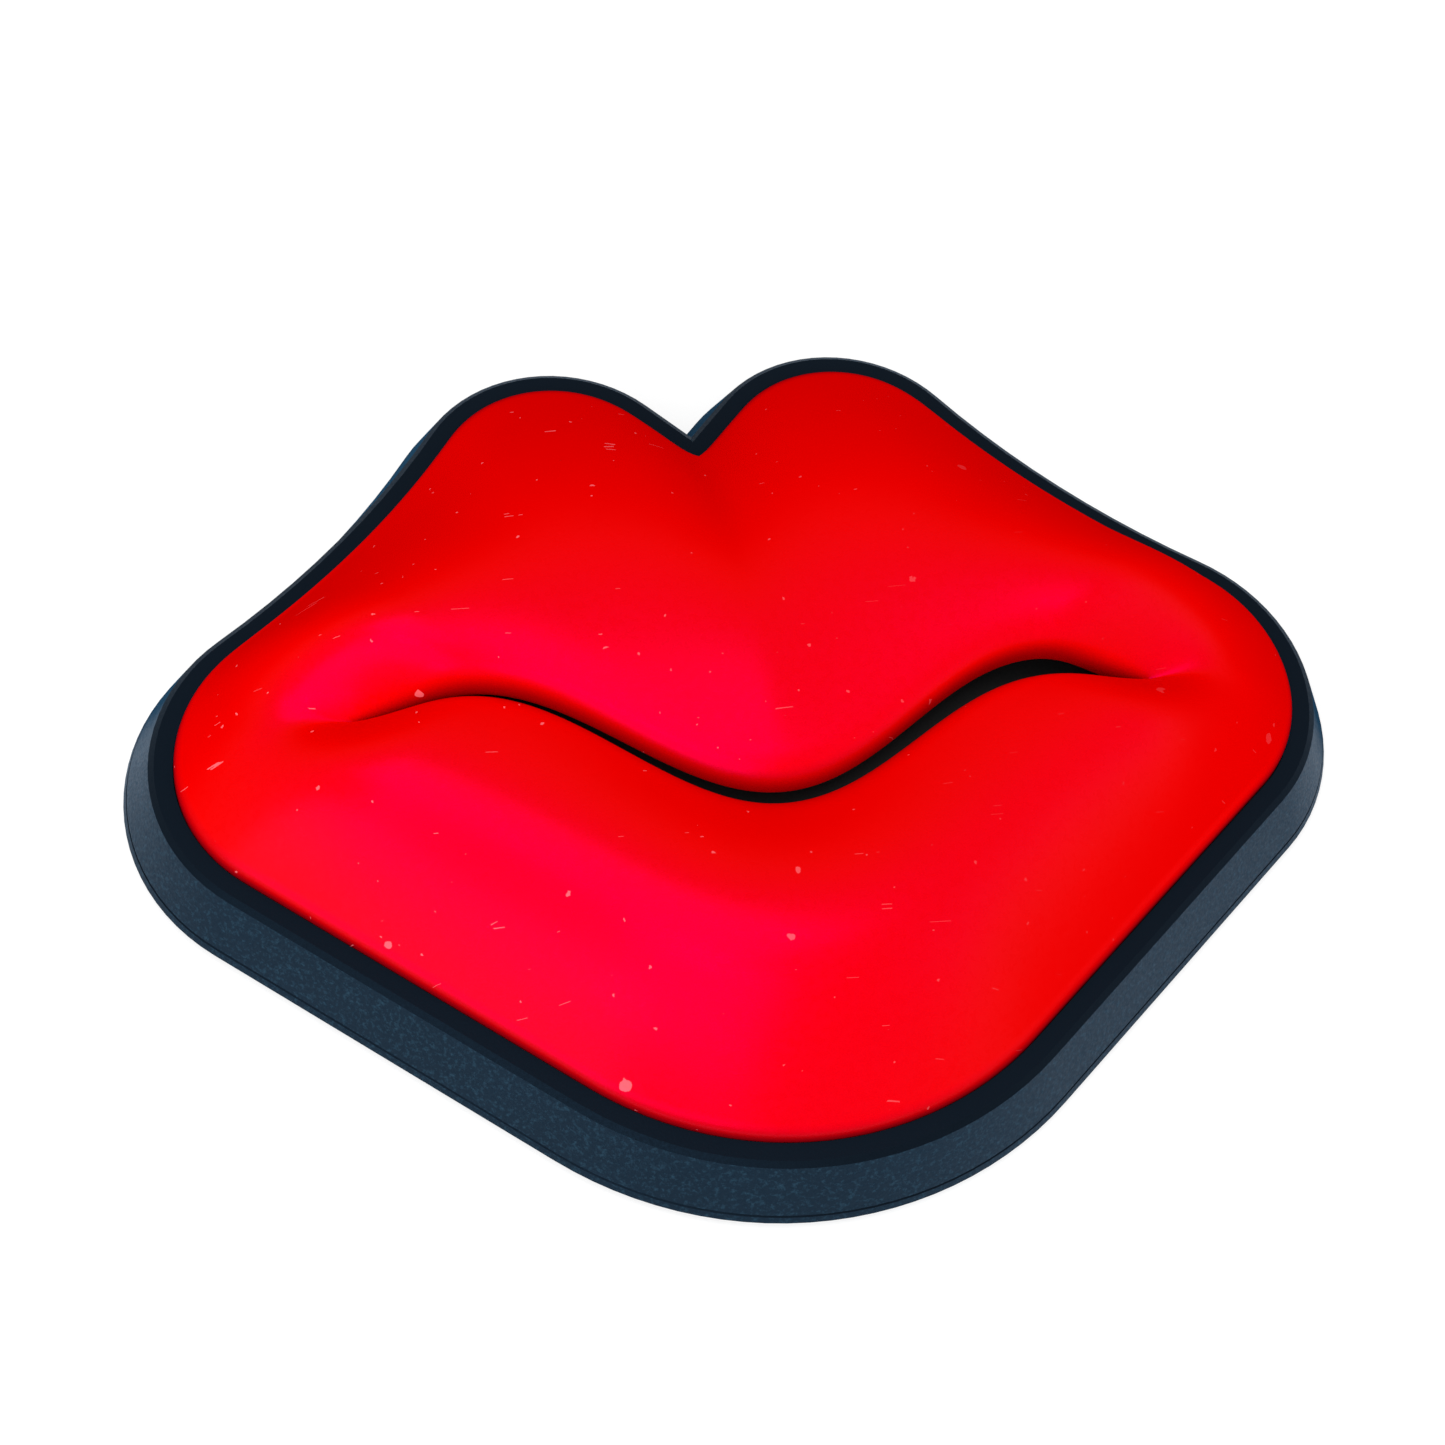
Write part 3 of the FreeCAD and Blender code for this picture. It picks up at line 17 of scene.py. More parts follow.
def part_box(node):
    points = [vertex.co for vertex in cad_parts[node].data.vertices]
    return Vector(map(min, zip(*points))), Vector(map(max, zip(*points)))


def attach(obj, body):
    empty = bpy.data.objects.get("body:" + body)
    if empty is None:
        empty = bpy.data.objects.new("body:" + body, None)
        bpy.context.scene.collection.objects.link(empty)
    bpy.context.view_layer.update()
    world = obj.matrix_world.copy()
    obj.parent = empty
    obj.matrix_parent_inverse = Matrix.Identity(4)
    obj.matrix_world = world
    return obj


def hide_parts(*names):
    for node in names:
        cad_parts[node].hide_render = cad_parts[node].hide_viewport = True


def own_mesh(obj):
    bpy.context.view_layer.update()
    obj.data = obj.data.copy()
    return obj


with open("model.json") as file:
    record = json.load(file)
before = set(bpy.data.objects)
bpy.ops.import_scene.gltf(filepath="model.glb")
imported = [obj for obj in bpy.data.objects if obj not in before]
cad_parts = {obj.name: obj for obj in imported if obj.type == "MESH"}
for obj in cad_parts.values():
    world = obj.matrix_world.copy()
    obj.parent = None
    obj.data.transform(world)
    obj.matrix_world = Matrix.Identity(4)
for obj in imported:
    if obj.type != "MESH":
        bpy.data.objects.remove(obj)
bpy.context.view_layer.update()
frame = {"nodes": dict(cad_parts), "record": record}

MM = 0.001
HAIR = 1e-9
PHOTO_SIDE = 1445
SLIT_SHADE = "slit_shade"
LOG = logging.getLogger("lip_telephone")

# Node types that come often
MATH = "ShaderNodeMath"
RANGE = "ShaderNodeMapRange"
NOISE = "ShaderNodeTexNoise"
XYZ = "ShaderNodeCombineXYZ"

Pair = tuple[float, float]
Triple = tuple[float, float, float]


def linear(text: str) -> tuple[float, float, float, float]:
    """Turns an sRGB hex colour into the opaque linear colour that shaders take.

    Args:
        text: Six hex digits, red first.

    Returns:
        Linear red, green, blue and alpha.
    """
    parts = [int(text[at:at + 2], 16) / 255 for at in (0, 2, 4)]
    red, green, blue = (c / 12.92 if c <= 0.04045 else ((c + 0.055) / 1.055) ** 2.4 for c in parts)
    return red, green, blue, 1.0


def add(tree: NodeTree, kind: str, inputs: dict[Any, Any] | Sequence[Any] = (),
        **settings: Any) -> Node:
    """Adds a node with its settings, and sets or links its inputs.

    Args:
        tree: Node tree that gets the node.
        kind: Blender's name of the node type.
        inputs: What each input gets, by its name or number, or in the order of the sockets:
            a value, a socket that feeds it, or a node that feeds it from its first output.
        settings: Attributes of the node.

    Returns:
        The new node.
    """
    node = tree.nodes.new(kind)
    for name, value in settings.items():
        setattr(node, name, value)
    for name, value in inputs.items() if isinstance(inputs, dict) else enumerate(inputs):
        source = value.outputs[0] if isinstance(value, Node) else value
        if isinstance(source, NodeSocket):
            tree.links.new(source, node.inputs[name])
        else:
            node.inputs[name].default_value = value
    return node


def per_metre(size_mm: float) -> float:
    """Pattern scale that gives features of a size in millimetres."""
    return 1.0 / (size_mm * MM)


def put(name: str, data: ID, material: Material | None = None) -> Object:
    """Puts an object into the scene, at the origin.

    Args:
        name: Name of the object.
        data: Its mesh, curve, lamp or camera.
        material: Finish, which takes the place of those that a mesh has.

    Returns:
        The object.
    """
    if material:
        data.materials.clear()
        data.materials.append(material)
    made = bpy.data.objects.new(name, data)
    bpy.context.scene.collection.objects.link(made)
    return made


def smooth_piece(name: str, mesh: Mesh, material: Material, crease_deg: float) -> Object:
    """Shades a mesh smooth up to its creases and puts it into the scene.

    Args:
        name: Name of the piece.
        mesh: Mesh in place.
        material: Finish.
        crease_deg: Angle from which an edge stays sharp.

    Returns:
        The piece.
    """
    mesh.shade_smooth()
    mesh.set_sharp_from_angle(angle=math.radians(crease_deg))
    return put(name, mesh, material)


def curve_mesh(curve: Curve) -> Mesh:
    """Turns a curve or a text into a mesh.

    Args:
        curve: Curve with its fill and depth.

    Returns:
        The mesh.
    """
    drawn = put(curve.name, curve)
    bpy.context.view_layer.update()
    mesh = bpy.data.meshes.new_from_object(drawn)
    bpy.data.objects.remove(drawn)
    return mesh


# Finishes

@dataclass(frozen=True)
class Finish:
    """A surface in two close tones, with a fine grain that shows in its gloss and its relief.

    Sizes are in millimetres and colours are sRGB hex values.
    """

    name: str
    colour: str
    second_colour: str
    roughness: Pair
    mottle_mm: float = 9.0
    grain_mm: float = 0.6
    relief_mm: float = 0.01
    metallic: float = 0.0
    ior: float = 1.5
    sheen: float = 0.0
    sheen_colour: str = "FFFFFF"
    tint: str = "FFFFFF"
    gloss_level: float = 0.5
    gloss_fade: Pair | None = None

    GRAIN_SPAN = (0.3, 0.7)
    FADE_POWER = 4.0

    def tones(self, tree: NodeTree, place: NodeSocket) -> NodeSocket:
        """Colour of the surface: a soft mottle between the two tones.

        Args:
            tree: Tree of the material.
            place: Object coordinates.

        Returns:
            Colour socket.
        """
        mottle = add(tree, NOISE, {
            "Vector": place, "Scale": per_metre(self.mottle_mm), "Detail": 4.0, "Roughness": 0.6})
        layers = [(mottle.outputs["Fac"], self.second_colour)]
        return self.layered(tree, linear(self.colour), layers)

    @staticmethod
    def layered(tree: NodeTree, colour: Any, layers: Sequence[tuple[Any, str]]) -> NodeSocket:
        """Lays colours over a colour, one after the other.

        Args:
            tree: Tree of the material.
            colour: Lowest colour, as a value or a socket.
            layers: Share that each colour covers, as a node or a socket, and the colour.

        Returns:
            Colour socket.
        """
        for share, tone in layers:
            colour = add(tree, "ShaderNodeMix", {0: share, 6: colour, 7: linear(tone)},
                         data_type="RGBA").outputs[2]
        return colour

    def grain(self, tree: NodeTree, place: NodeSocket) -> NodeSocket:
        """Height of the fine surface grain, from 0 to 1."""
        return add(tree, NOISE, {
            "Vector": place, "Scale": per_metre(self.grain_mm), "Detail": 3.0}).outputs["Fac"]

    def material(self) -> Material:
        """Builds the material.

        Returns:
            Node material named for the finish.
        """
        made = bpy.data.materials.new(self.name)
        made.use_nodes = True
        tree = made.node_tree
        shader = tree.nodes["Principled BSDF"]
        place = add(tree, "ShaderNodeTexCoord").outputs["Object"]
        grain = self.grain(tree, place)
        gloss = add(tree, RANGE, (grain, *self.GRAIN_SPAN, *self.roughness))
        bump = add(tree, "ShaderNodeBump", {"Height": grain, "Distance": self.relief_mm * MM})
        tree.links.new(self.tones(tree, place), shader.inputs["Base Color"])
        tree.links.new(gloss.outputs["Result"], shader.inputs["Roughness"])
        tree.links.new(bump.outputs["Normal"], shader.inputs["Normal"])
        for name, value in (
                ("Metallic", self.metallic), ("IOR", self.ior), ("Sheen Weight", self.sheen),
                ("Sheen Tint", linear(self.sheen_colour)), ("Specular Tint", linear(self.tint)),
                ("Specular IOR Level", self.gloss_level)):
            shader.inputs[name].default_value = value
        if self.gloss_fade:
            tree.links.new(self.faded_gloss(tree), shader.inputs["Specular IOR Level"])
        return made

    def faded_gloss(self, tree: NodeTree) -> NodeSocket:
        """Gloss level that falls to nothing where the surface turns away from the eye.

        Args:
            tree: Tree of the material.

        Returns:
            Level socket.
        """
        turned = add(tree, "ShaderNodeLayerWeight", {"Blend": 0.5})
        faced = add(tree, RANGE, (
            turned.outputs["Facing"], *self.gloss_fade, 1.0, 0.0), interpolation_type="SMOOTHSTEP")
        eased = add(tree, MATH, (faced, self.FADE_POWER), operation="POWER")
        return add(tree, MATH, (eased, self.gloss_level), operation="MULTIPLY").outputs[0]


@dataclass(frozen=True)
class LipPlastic(Finish):
    """Semi-gloss red ABS: saturated, with a pink sheen, dust and fine scratches."""

    # Painted shade: a darker red band low on the shell, where it meets the ledge, over a range of
    # heights
    joint_shade_colour: str = "6E0010"
    joint_shade_mm: Pair = (13.6, 16.4)
    joint_shade_strength: float = 0.8
    # Painted shade: a darker red band along the slit, under the upper lip's rolled edge and on the
    # lower lip's edge
    slit_shade_colour: str = "7C0004"
    slit_shade_strength: float = 0.75
    dust_colour: str = "FF8088"
    dust_share: float = 0.5
    dust_drift_mm: Pair = (-35.0, 40.0)
    dust_strength: Pair = (0.62, 0.1)
    # Cell of the pattern and radius of its largest specks
    speck_sizes_mm: tuple[Pair, ...] = ((15.0, 1.3), (2.8, 0.3))
    ragged_mm: float = 1.1
    ragged_push_mm: float = 1.2
    scratch_mm: float = 3.0
    scratch_turn: float = 0.6
    scratch_stretch: Triple = (0.05, 1.0, 0.3)
    scratch_level: float = 0.5
    scratch_width: float = 0.006
    scratch_patch_mm: float = 5.0
    scratch_rarity: float = 0.7
    tint: str = "FF007A"
    gloss_level: float = 1.0
    gloss_fade: Pair | None = (0.08, 0.5)

    def specks(self, tree: NodeTree, place: NodeSocket, cell_mm: float,
               reach_mm: float) -> NodeSocket:
        """Mask of dust: one ragged speck in a few of the cells of a Voronoi pattern.

        Args:
            tree: Tree of the material.
            place: Object coordinates.
            cell_mm: Size of a cell.
            reach_mm: Radius of the largest specks.

        Returns:
            Mask socket, 1 on a speck.
        """
        ragged = add(tree, NOISE, {
            "Vector": place, "Scale": per_metre(self.ragged_mm), "Detail": 2.0})
        push = (self.ragged_push_mm * MM,) * 3
        pushed = add(tree, "ShaderNodeVectorMath", (ragged.outputs["Color"], push),
                     operation="MULTIPLY")
        moved = add(tree, "ShaderNodeVectorMath", (place, pushed), operation="ADD")
        cells = add(tree, "ShaderNodeTexVoronoi", {"Vector": moved, "Scale": per_metre(cell_mm)})
        chosen = add(tree, "ShaderNodeSeparateColor", {"Color": cells.outputs["Color"]})
        reach = add(tree, RANGE, (
            chosen.outputs["Red"], 1.0 - self.dust_share, 1.0, 0.0, reach_mm / cell_mm))
        return add(tree, MATH, (cells.outputs["Distance"], reach), operation="LESS_THAN").outputs[0]

    def scratches(self, tree: NodeTree, place: NodeSocket) -> NodeSocket:
        """Mask of short hairline scratches, broken up so that only a few remain.

        Args:
            tree: Tree of the material.
            place: Object coordinates.

        Returns:
            Mask socket, 1 on a scratch.
        """
        turned = add(tree, "ShaderNodeMapping", {
            "Vector": place, "Rotation": (0.0, 0.0, self.scratch_turn),
            "Scale": self.scratch_stretch})
        strand = add(tree, NOISE, {
            "Vector": turned, "Scale": per_metre(self.scratch_mm), "Detail": 0.0})
        line = add(tree, MATH, (
            strand.outputs["Fac"], self.scratch_level, self.scratch_width), operation="COMPARE")
        patch = add(tree, NOISE, {
            "Vector": place, "Scale": per_metre(self.scratch_patch_mm), "Detail": 1.0})
        kept = add(tree, MATH, (patch.outputs["Fac"], self.scratch_rarity),
                   operation="GREATER_THAN")
        return add(tree, MATH, (line, kept), operation="MULTIPLY").outputs[0]

    def tones(self, tree: NodeTree, place: NodeSocket) -> NodeSocket:
        """Red, with painted shade low on the shell at the ledge and along the slit, and with marks
        that are stronger at the ear end.

        Args:
            tree: Tree of the material.
            place: Object coordinates.

        Returns:
            Colour socket.
        """
        parts = add(tree, "ShaderNodeSeparateXYZ", (place,)).outputs
        # Painted shade: darker red low on the shell, fading out over the height range above the
        # ledge
        levels = (level * MM for level in self.joint_shade_mm)
        painted_joint_shade = add(tree, RANGE, (parts["Z"], *levels, self.joint_shade_strength, 0.0),
                    interpolation_type="SMOOTHSTEP")
        # Painted shade: darker red along the slit, following the slit_shade attribute
        shade = add(tree, "ShaderNodeAttribute", attribute_name=SLIT_SHADE).outputs["Fac"]
        slit = add(tree, RANGE, (shade, 0.0, 1.0, 0.0, self.slit_shade_strength),
                   interpolation_type="SMOOTHSTEP")
        marks = self.scratches(tree, place)
        for sizes in self.speck_sizes_mm:
            marks = add(tree, MATH, (marks, self.specks(tree, place, *sizes)),
                        operation="MAXIMUM")
        ends = (end * MM for end in self.dust_drift_mm)
        drift = add(tree, RANGE, (parts["X"], *ends, *self.dust_strength))
        faint = add(tree, MATH, (marks, drift), operation="MULTIPLY")
        return self.layered(tree, super().tones(tree, place), [
            (painted_joint_shade, self.joint_shade_colour), (slit, self.slit_shade_colour), (faint, self.dust_colour)])


@dataclass(frozen=True)
class CasePlastic(Finish):
    """Black ABS: spark-eroded blue-grey sides, and a darker ledge on the faces that look up."""

    ledge_colour: str = "08090C"
    ledge_slope: Pair = (0.5, 0.7)
    speckle_mm: float = 0.8
    speckle_colour: str = "223F50"
    speckle_span: Pair = (0.5, 0.85)
    tint: str = "7FC4FF"
    sheen: float = 0.16
    sheen_colour: str = "5AA6E0"
    gloss_level: float = 0.17
    gloss_fade: Pair | None = (0.78, 0.97)

    def tones(self, tree: NodeTree, place: NodeSocket) -> NodeSocket:
        """Speckled side colour, which turns to the ledge colour where the surface faces up.

        Args:
            tree: Tree of the material.
            place: Object coordinates.

        Returns:
            Colour socket.
        """
        spots = add(tree, NOISE, {
            "Vector": place, "Scale": per_metre(self.speckle_mm), "Detail": 3.0, "Roughness": 0.7})
        spotted = add(tree, RANGE, (spots.outputs["Fac"], *self.speckle_span))
        normal = add(tree, "ShaderNodeSeparateXYZ", (
            add(tree, "ShaderNodeNewGeometry").outputs["Normal"],))
        upward = add(tree, RANGE, (normal.outputs["Z"], *self.ledge_slope))
        return self.layered(tree, super().tones(tree, place), [
            (spotted, self.speckle_colour), (upward, self.ledge_colour)])


class Slot(Enum):
    """Material slots of the record, each with the finish that it shows."""

    # Polished red ABS: bright, even and semi-gloss, with a slight orange peel
    red_abs = LipPlastic("semi_gloss_red_abs", "E40000", "EC0000", (0.24, 0.34), 26.0, 1.4, 0.006)
    # Spark-eroded black ABS: satin and blue-grey under a white studio light
    black_abs = CasePlastic("satin_black_abs", "030E18", "081926", (0.42, 0.6), 14.0, 0.5, 0.02)
    # Matt sheet behind the slit: swallows the light
    liner_black = Finish("matt_black_styrene", "0B0B0C", "121214", (0.6, 0.8))
    # Satin moulded caps: ivory, a little uneven with handling
    key_plastic = Finish("satin_ivory_abs", "E4E0D2", "D8D2C0", (0.36, 0.48), 5.0, 0.4, 0.006)
    # Soft moulded rubber: dull, with a faint bloom
    silicone = Finish("grey_silicone_rubber", "8B8D90", "7C7F83", (0.55, 0.7), sheen=0.1)
    # Phenolic paper: warm brown with paper fibre mottling
    board_laminate = Finish("phenolic_paper_laminate", "A9732F", "8F5C22", (0.4, 0.55), 2.5, 0.3)
    # Transfer-moulded epoxy: nearly black and dry
    chip_epoxy = Finish("black_moulded_epoxy", "18181A", "202022", (0.5, 0.65), 3.0, 0.25)
    # Shrunk vinyl: glossy dark blue
    capacitor_sleeve = Finish("blue_vinyl_sleeve", "1B2466", "222E7A", (0.2, 0.32), 4.0, 0.8)
    # Bright zinc plating with faint rolling marks
    plated_steel = Finish(
        "zinc_plated_steel", "C4C6C8", "AFB3B8", (0.24, 0.42), 2.0, 0.25, 0.004, 1.0)
    # Natural nylon: milky white
    white_nylon = Finish("natural_nylon", "ECE9DD", "E0DCCB", (0.4, 0.5))
    # Flexible vinyl insulation: glossy red
    lead_insulation = Finish("red_vinyl_insulation", "B8201A", "A51812", (0.3, 0.42), 5.0, 0.5)
    # Closed-cell foam: open pores at the skin, no gloss
    foam = Finish("closed_cell_foam", "1E1E21", "29292D", (0.85, 0.95), 1.5, 0.5, 0.08)
    # Moulded receiver shell: dark and dull
    receiver_plastic = Finish("dark_grey_styrene", "2A2B2E", "34363A", (0.45, 0.6), 6.0, 0.5)
    # Drawn aluminium: soft grey metal
    microphone_can = Finish(
        "drawn_aluminium", "D5D7DA", "C2C5C9", (0.28, 0.42), 1.5, 0.2, 0.003, 1.0)
    # Rolled brass: warm and bright
    contact_brass = Finish("rolled_brass", "D9B25A", "C99F45", (0.2, 0.34), 2.0, 0.25, 0.003, 1.0)
    # Glass-filled nylon: black with a slight gloss
    jack_nylon = Finish("black_nylon", "17181B", "1F2124", (0.36, 0.5), 4.0, 0.35)
    # Mild steel under dip paint: uneven and semi-matt
    ballast_steel = Finish("painted_mild_steel", "4A4B4F", "3E3F43", (0.45, 0.65), 4.0, 1.0, 0.03)
    # Moulded rubber: matt and slightly dusty
    foot_rubber = Finish(
        "matt_black_rubber", "161617", "212123", (0.75, 0.9), 3.0, 0.4, 0.02, sheen=0.15)


# Pad-printed key figures: flat dark ink, a little thin in places
INK = Finish("dark_printing_ink", "1D1F24", "2A2D33", (0.5, 0.65), 1.5, 0.2, 0.002)
# Dust gauze behind the ear holes: dull black thread
GAUZE_THREAD = Finish("black_nylon_gauze", "141518", "1E2024", (0.6, 0.75), 1.5, 0.2, 0.004)


# CAD nodes

@dataclass
class CadDress:
    """Dresses the CAD nodes: a finish for each slot, and smooth shading on curved faces."""

    weld: float = 1e-6
    crease_deg: float = 28.0

    def smoothing(self) -> NodeTree:
        """Tree that joins loose triangles and shades them smooth, up to a crease angle.

        Returns:
            Geometry node group with inputs for the weld distance and the crease angle.
        """
        tree = bpy.data.node_groups.new("smooth_faces", "GeometryNodeTree")
        tree.interface.new_socket("Geometry", in_out="INPUT", socket_type="NodeSocketGeometry")
        for label, value in (
                ("Weld distance", self.weld), ("Crease angle", math.radians(self.crease_deg))):
            socket = tree.interface.new_socket(label, in_out="INPUT", socket_type="NodeSocketFloat")
            socket.default_value = value
        tree.interface.new_socket("Geometry", in_out="OUTPUT", socket_type="NodeSocketGeometry")
        start = add(tree, "NodeGroupInput").outputs
        joined = add(tree, "GeometryNodeMergeByDistance", {
            "Geometry": start["Geometry"], "Distance": start["Weld distance"]})
        smooth = add(tree, "GeometryNodeSetShadeSmooth", {0: joined, "Shade Smooth": True},
                     domain="FACE")
        angle = add(tree, "GeometryNodeInputMeshEdgeAngle").outputs["Unsigned Angle"]
        sharp = add(tree, "FunctionNodeCompare", (angle, start["Crease angle"]),
                    operation="GREATER_THAN")
        creased = add(tree, "GeometryNodeSetShadeSmooth", {
            0: smooth, "Selection": sharp, "Shade Smooth": False}, domain="EDGE")
        add(tree, "NodeGroupOutput", (creased,))
        return tree

    def dress(self, materials: dict[str, Material]) -> None:
        """Gives every CAD node its material and its smooth shading.

        Args:
            materials: Material of each record slot.
        """
        tree = self.smoothing()
        for row in frame["record"]["subparts"]:
            node = frame["nodes"][row["node"]]
            node.data.materials.clear()
            node.data.materials.append(materials[row["material_slot"]])
            node.modifiers.new("smooth_faces", "NODES").node_group = tree
            node.modifiers.new("flat_faces_lead", "WEIGHTED_NORMAL").keep_sharp = True
            LOG.info("%s: %s", row["node"], row["material_slot"])


# Lips

@dataclass
class LipShell:
    """Red shell: spokes run from the rim to the mouth line, and a smooth skin lies over them.

    Sizes are in millimetres, in the frame of the CAD model.
    """

    rim_half_width: float = 100.0
    rim_half_depth: float = 79.0
    corner_radius: float = 31.5
    corner_y: float = 1.4
    peak_x: float = 26.0
    peak_radius: float = 25.0
    notch_depth: float = 16.5
    waist_radius: float = 170.0
    chin_radius: float = 60.0
    ledge_width: float = 3.9
    wall: float = 2.5
    seat: float = 10.5
    lip_edge: float = 14.7
    mouth_half_width: float = 66.0
    mouth_tilt: float = -2.2
    hump_x: float = 47.5
    tubercle_y: float = -20.0
    hump_y: float = 0.0
    mouth_corner_y: float = -2.2
    left_gap: Triple = (1.4, 0.15, 0.1)
    right_gap: Triple = (1.4, 3.2, 0.3)
    right_gap_raised: Triple = (0.0, 0.35, 0.0)
    upper_crest: Triple = (37.5, 39.5, 28.0)
    upper_edge: Triple = (31.0, 34.0, 26.0)
    upper_crest_share: Triple = (0.6, 0.62, 0.6)
    lower_crest: Triple = (35.5, 34.5, 28.0)
    lower_edge: Triple = (27.8, 31.3, 26.0)
    lower_crest_share: Triple = (0.58, 0.58, 0.6)
    edge_roll: Triple = (3.0, 3.0, 0.8)
    brink: float = 0.4
    brink_drop_share: float = 0.4
    overrun: float = 3.5
    stations: tuple[float, ...] = (0.0, 0.06, 0.14, 0.24, 0.35, 0.47, 0.59, 0.71, 0.82, 0.91, 0.965)
    spokes: int = 22
    between: int = 5
    rows: int = 84
    inner_rows: int = 15
    samples: int = 500
    rim_samples: int = 60
    arc_points: int = 400
    edge_rows: int = 6
    edge_round: float = 1.3
    edge_drop: Pair = (1.9, 0.7)
    foot_step: float = 0.2
    slit_lip: float = 1.2
    upper_shade_width: float = 4.2
    lower_shade_width: float = 2.0
    pillars: tuple[Pair, ...] = ((54.0, 29.0), (30.0, -54.0))
    pillar_radius: float = 4.0
    pillar_bottom: float = 6.2
    pillar_sides: int = 40
    crease_deg: float = 50.0

    def eased(self, values: Sequence[float], share: float) -> float:
        """Value between the centre, hump and mouth-corner values.

        Args:
            values: Values at the centre, over the hump and at the mouth corner.
            share: Place along the mouth, 0 at the centre and 1 at the corner.

        Returns:
            The eased value.
        """
        centre, hump, corner = values
        turn = self.hump_x / self.mouth_half_width
        if share < turn:
            return centre + (hump - centre) * math.sin(math.pi / 2 * share / turn) ** 2
        return hump + (corner - hump) * math.sin(math.pi / 2 * (share - turn) / (1 - turn)) ** 2

    def mouth_y(self, x: float) -> float:
        """Mouth line in plan.

        Args:
            x: Place along the mouth.

        Returns:
            Place of the line across the mouth.
        """
        reach = abs(x)
        askew = x * math.tan(math.radians(self.mouth_tilt))
        if reach < self.hump_x:
            fall = (1 + math.cos(math.pi * reach / self.hump_x)) / 2
            return self.hump_y + (self.tubercle_y - self.hump_y) * fall + askew
        fall = (reach - self.hump_x) / (self.mouth_half_width - self.hump_x)
        return self.hump_y + (self.mouth_corner_y - self.hump_y) * fall ** 2 + askew

    def lip_height(self, along: float, share: float, upper: bool) -> float:
        """Height of the skin's control points along a spoke.

        Args:
            along: Place on the spoke, 0 at the rim and 1 at the mouth line.
            share: Place along the mouth.
            upper: True on the upper lip.

        Returns:
            Height over the table.
        """
        crest = self.eased(self.upper_crest if upper else self.lower_crest, share)
        edge = self.eased(self.upper_edge if upper else self.lower_edge, share)
        top = self.eased(self.upper_crest_share if upper else self.lower_crest_share, share)
        if along <= top:
            return self.lip_edge + (crest - self.lip_edge) * math.sin(math.pi / 2 * along / top)
        return edge + (crest - edge) * math.cos(math.pi / 2 * (along - top) / (1 - top))

    def runs(self, hand: int, count: int) -> tuple[np.ndarray, np.ndarray]:
        """Points at even steps along the shell's edge in plan, on the upper and the lower lip.

        Args:
            hand: 1 for the right half and -1 for the left half.
            count: Steps on each lip.

        Returns:
            Points from the notch to the mouth corner's level, and from there to the chin.
        """
        grow = -self.ledge_width
        peak_c = np.array((self.peak_x, self.rim_half_depth - self.peak_radius))
        corner_c = np.array((self.rim_half_width - self.corner_radius, self.corner_y))
        chin_c = np.array((0.0, self.chin_radius - self.rim_half_depth))
        from_peak = self.peak_radius + self.waist_radius
        from_corner = self.corner_radius + self.waist_radius
        across = corner_c - peak_c
        span = np.linalg.norm(across)
        along = (from_peak ** 2 - from_corner ** 2 + span ** 2) / (2 * span)
        unit = across / span
        aside = np.array((-unit[1], unit[0])) * math.sqrt(from_peak ** 2 - along ** 2)
        waist_c = peak_c + unit * along + aside
        away = np.array((0.0, self.rim_half_depth - self.notch_depth)) - peak_c
        first = math.atan2(away[1], away[0]) - math.acos(self.peak_radius / np.linalg.norm(away))
        down = chin_c - corner_c
        last = math.atan2(down[1], down[0]) + math.acos(
            (self.corner_radius - self.chin_radius) / np.linalg.norm(down))
        leave = math.atan2(*(waist_c - peak_c)[::-1])
        reach = math.atan2(*(waist_c - corner_c)[::-1])
        level = self.mouth_y(hand * self.mouth_half_width) - self.corner_y
        turn = math.asin(level / (self.corner_radius + grow))

        def arc(centre: np.ndarray, radius: float, start: float, end: float) -> np.ndarray:
            """Closely spaced points on an arc."""
            angles = np.linspace(start, end, self.arc_points)
            return centre + radius * np.stack((np.cos(angles), np.sin(angles)), 1)

        peak = arc(peak_c, self.peak_radius + grow, first, leave)
        notch = np.array((0.0, peak[0][1] + peak[0][0] / math.tan(first)))
        waist = arc(waist_c, self.waist_radius - grow, leave + math.pi, reach + math.pi)
        upper = np.vstack((notch, peak, waist,
                           arc(corner_c, self.corner_radius + grow, reach, turn)))
        lower = np.vstack((arc(corner_c, self.corner_radius + grow, turn, last),
                           arc(chin_c, self.chin_radius + grow, last, -math.pi / 2)))
        found = []
        for run in (upper, lower):
            steps = np.concatenate(([0.0], np.cumsum(np.linalg.norm(np.diff(run, axis=0), axis=1))))
            places = np.linspace(0.0, steps[-1], count + 1)
            even = np.stack([np.interp(places, steps, run[:, axis]) for axis in (0, 1)], 1)
            found.append(even * np.array((hand, 1.0)))
        return found[0], found[1]

    def ring(self, count: int) -> list[tuple[np.ndarray, float, int, int]]:
        """Rim points once round the shell, from the notch over the right side.

        Args:
            count: Steps on each quarter.

        Returns:
            For each point its place, its share along the mouth, its hand, and 1, 0 or -1 for the
            upper lip, the mouth corner and the lower lip.
        """
        halves = []
        for hand in (1, -1):
            upper, lower = self.runs(hand, count)
            half = [(point, at / count, hand, int(at < count)) for at, point in enumerate(upper)]
            half += [(point, 1 - at / count, hand, -1) for at, point in enumerate(lower) if at]
            halves.append(half)
        return halves[0] + halves[1][-2:0:-1]

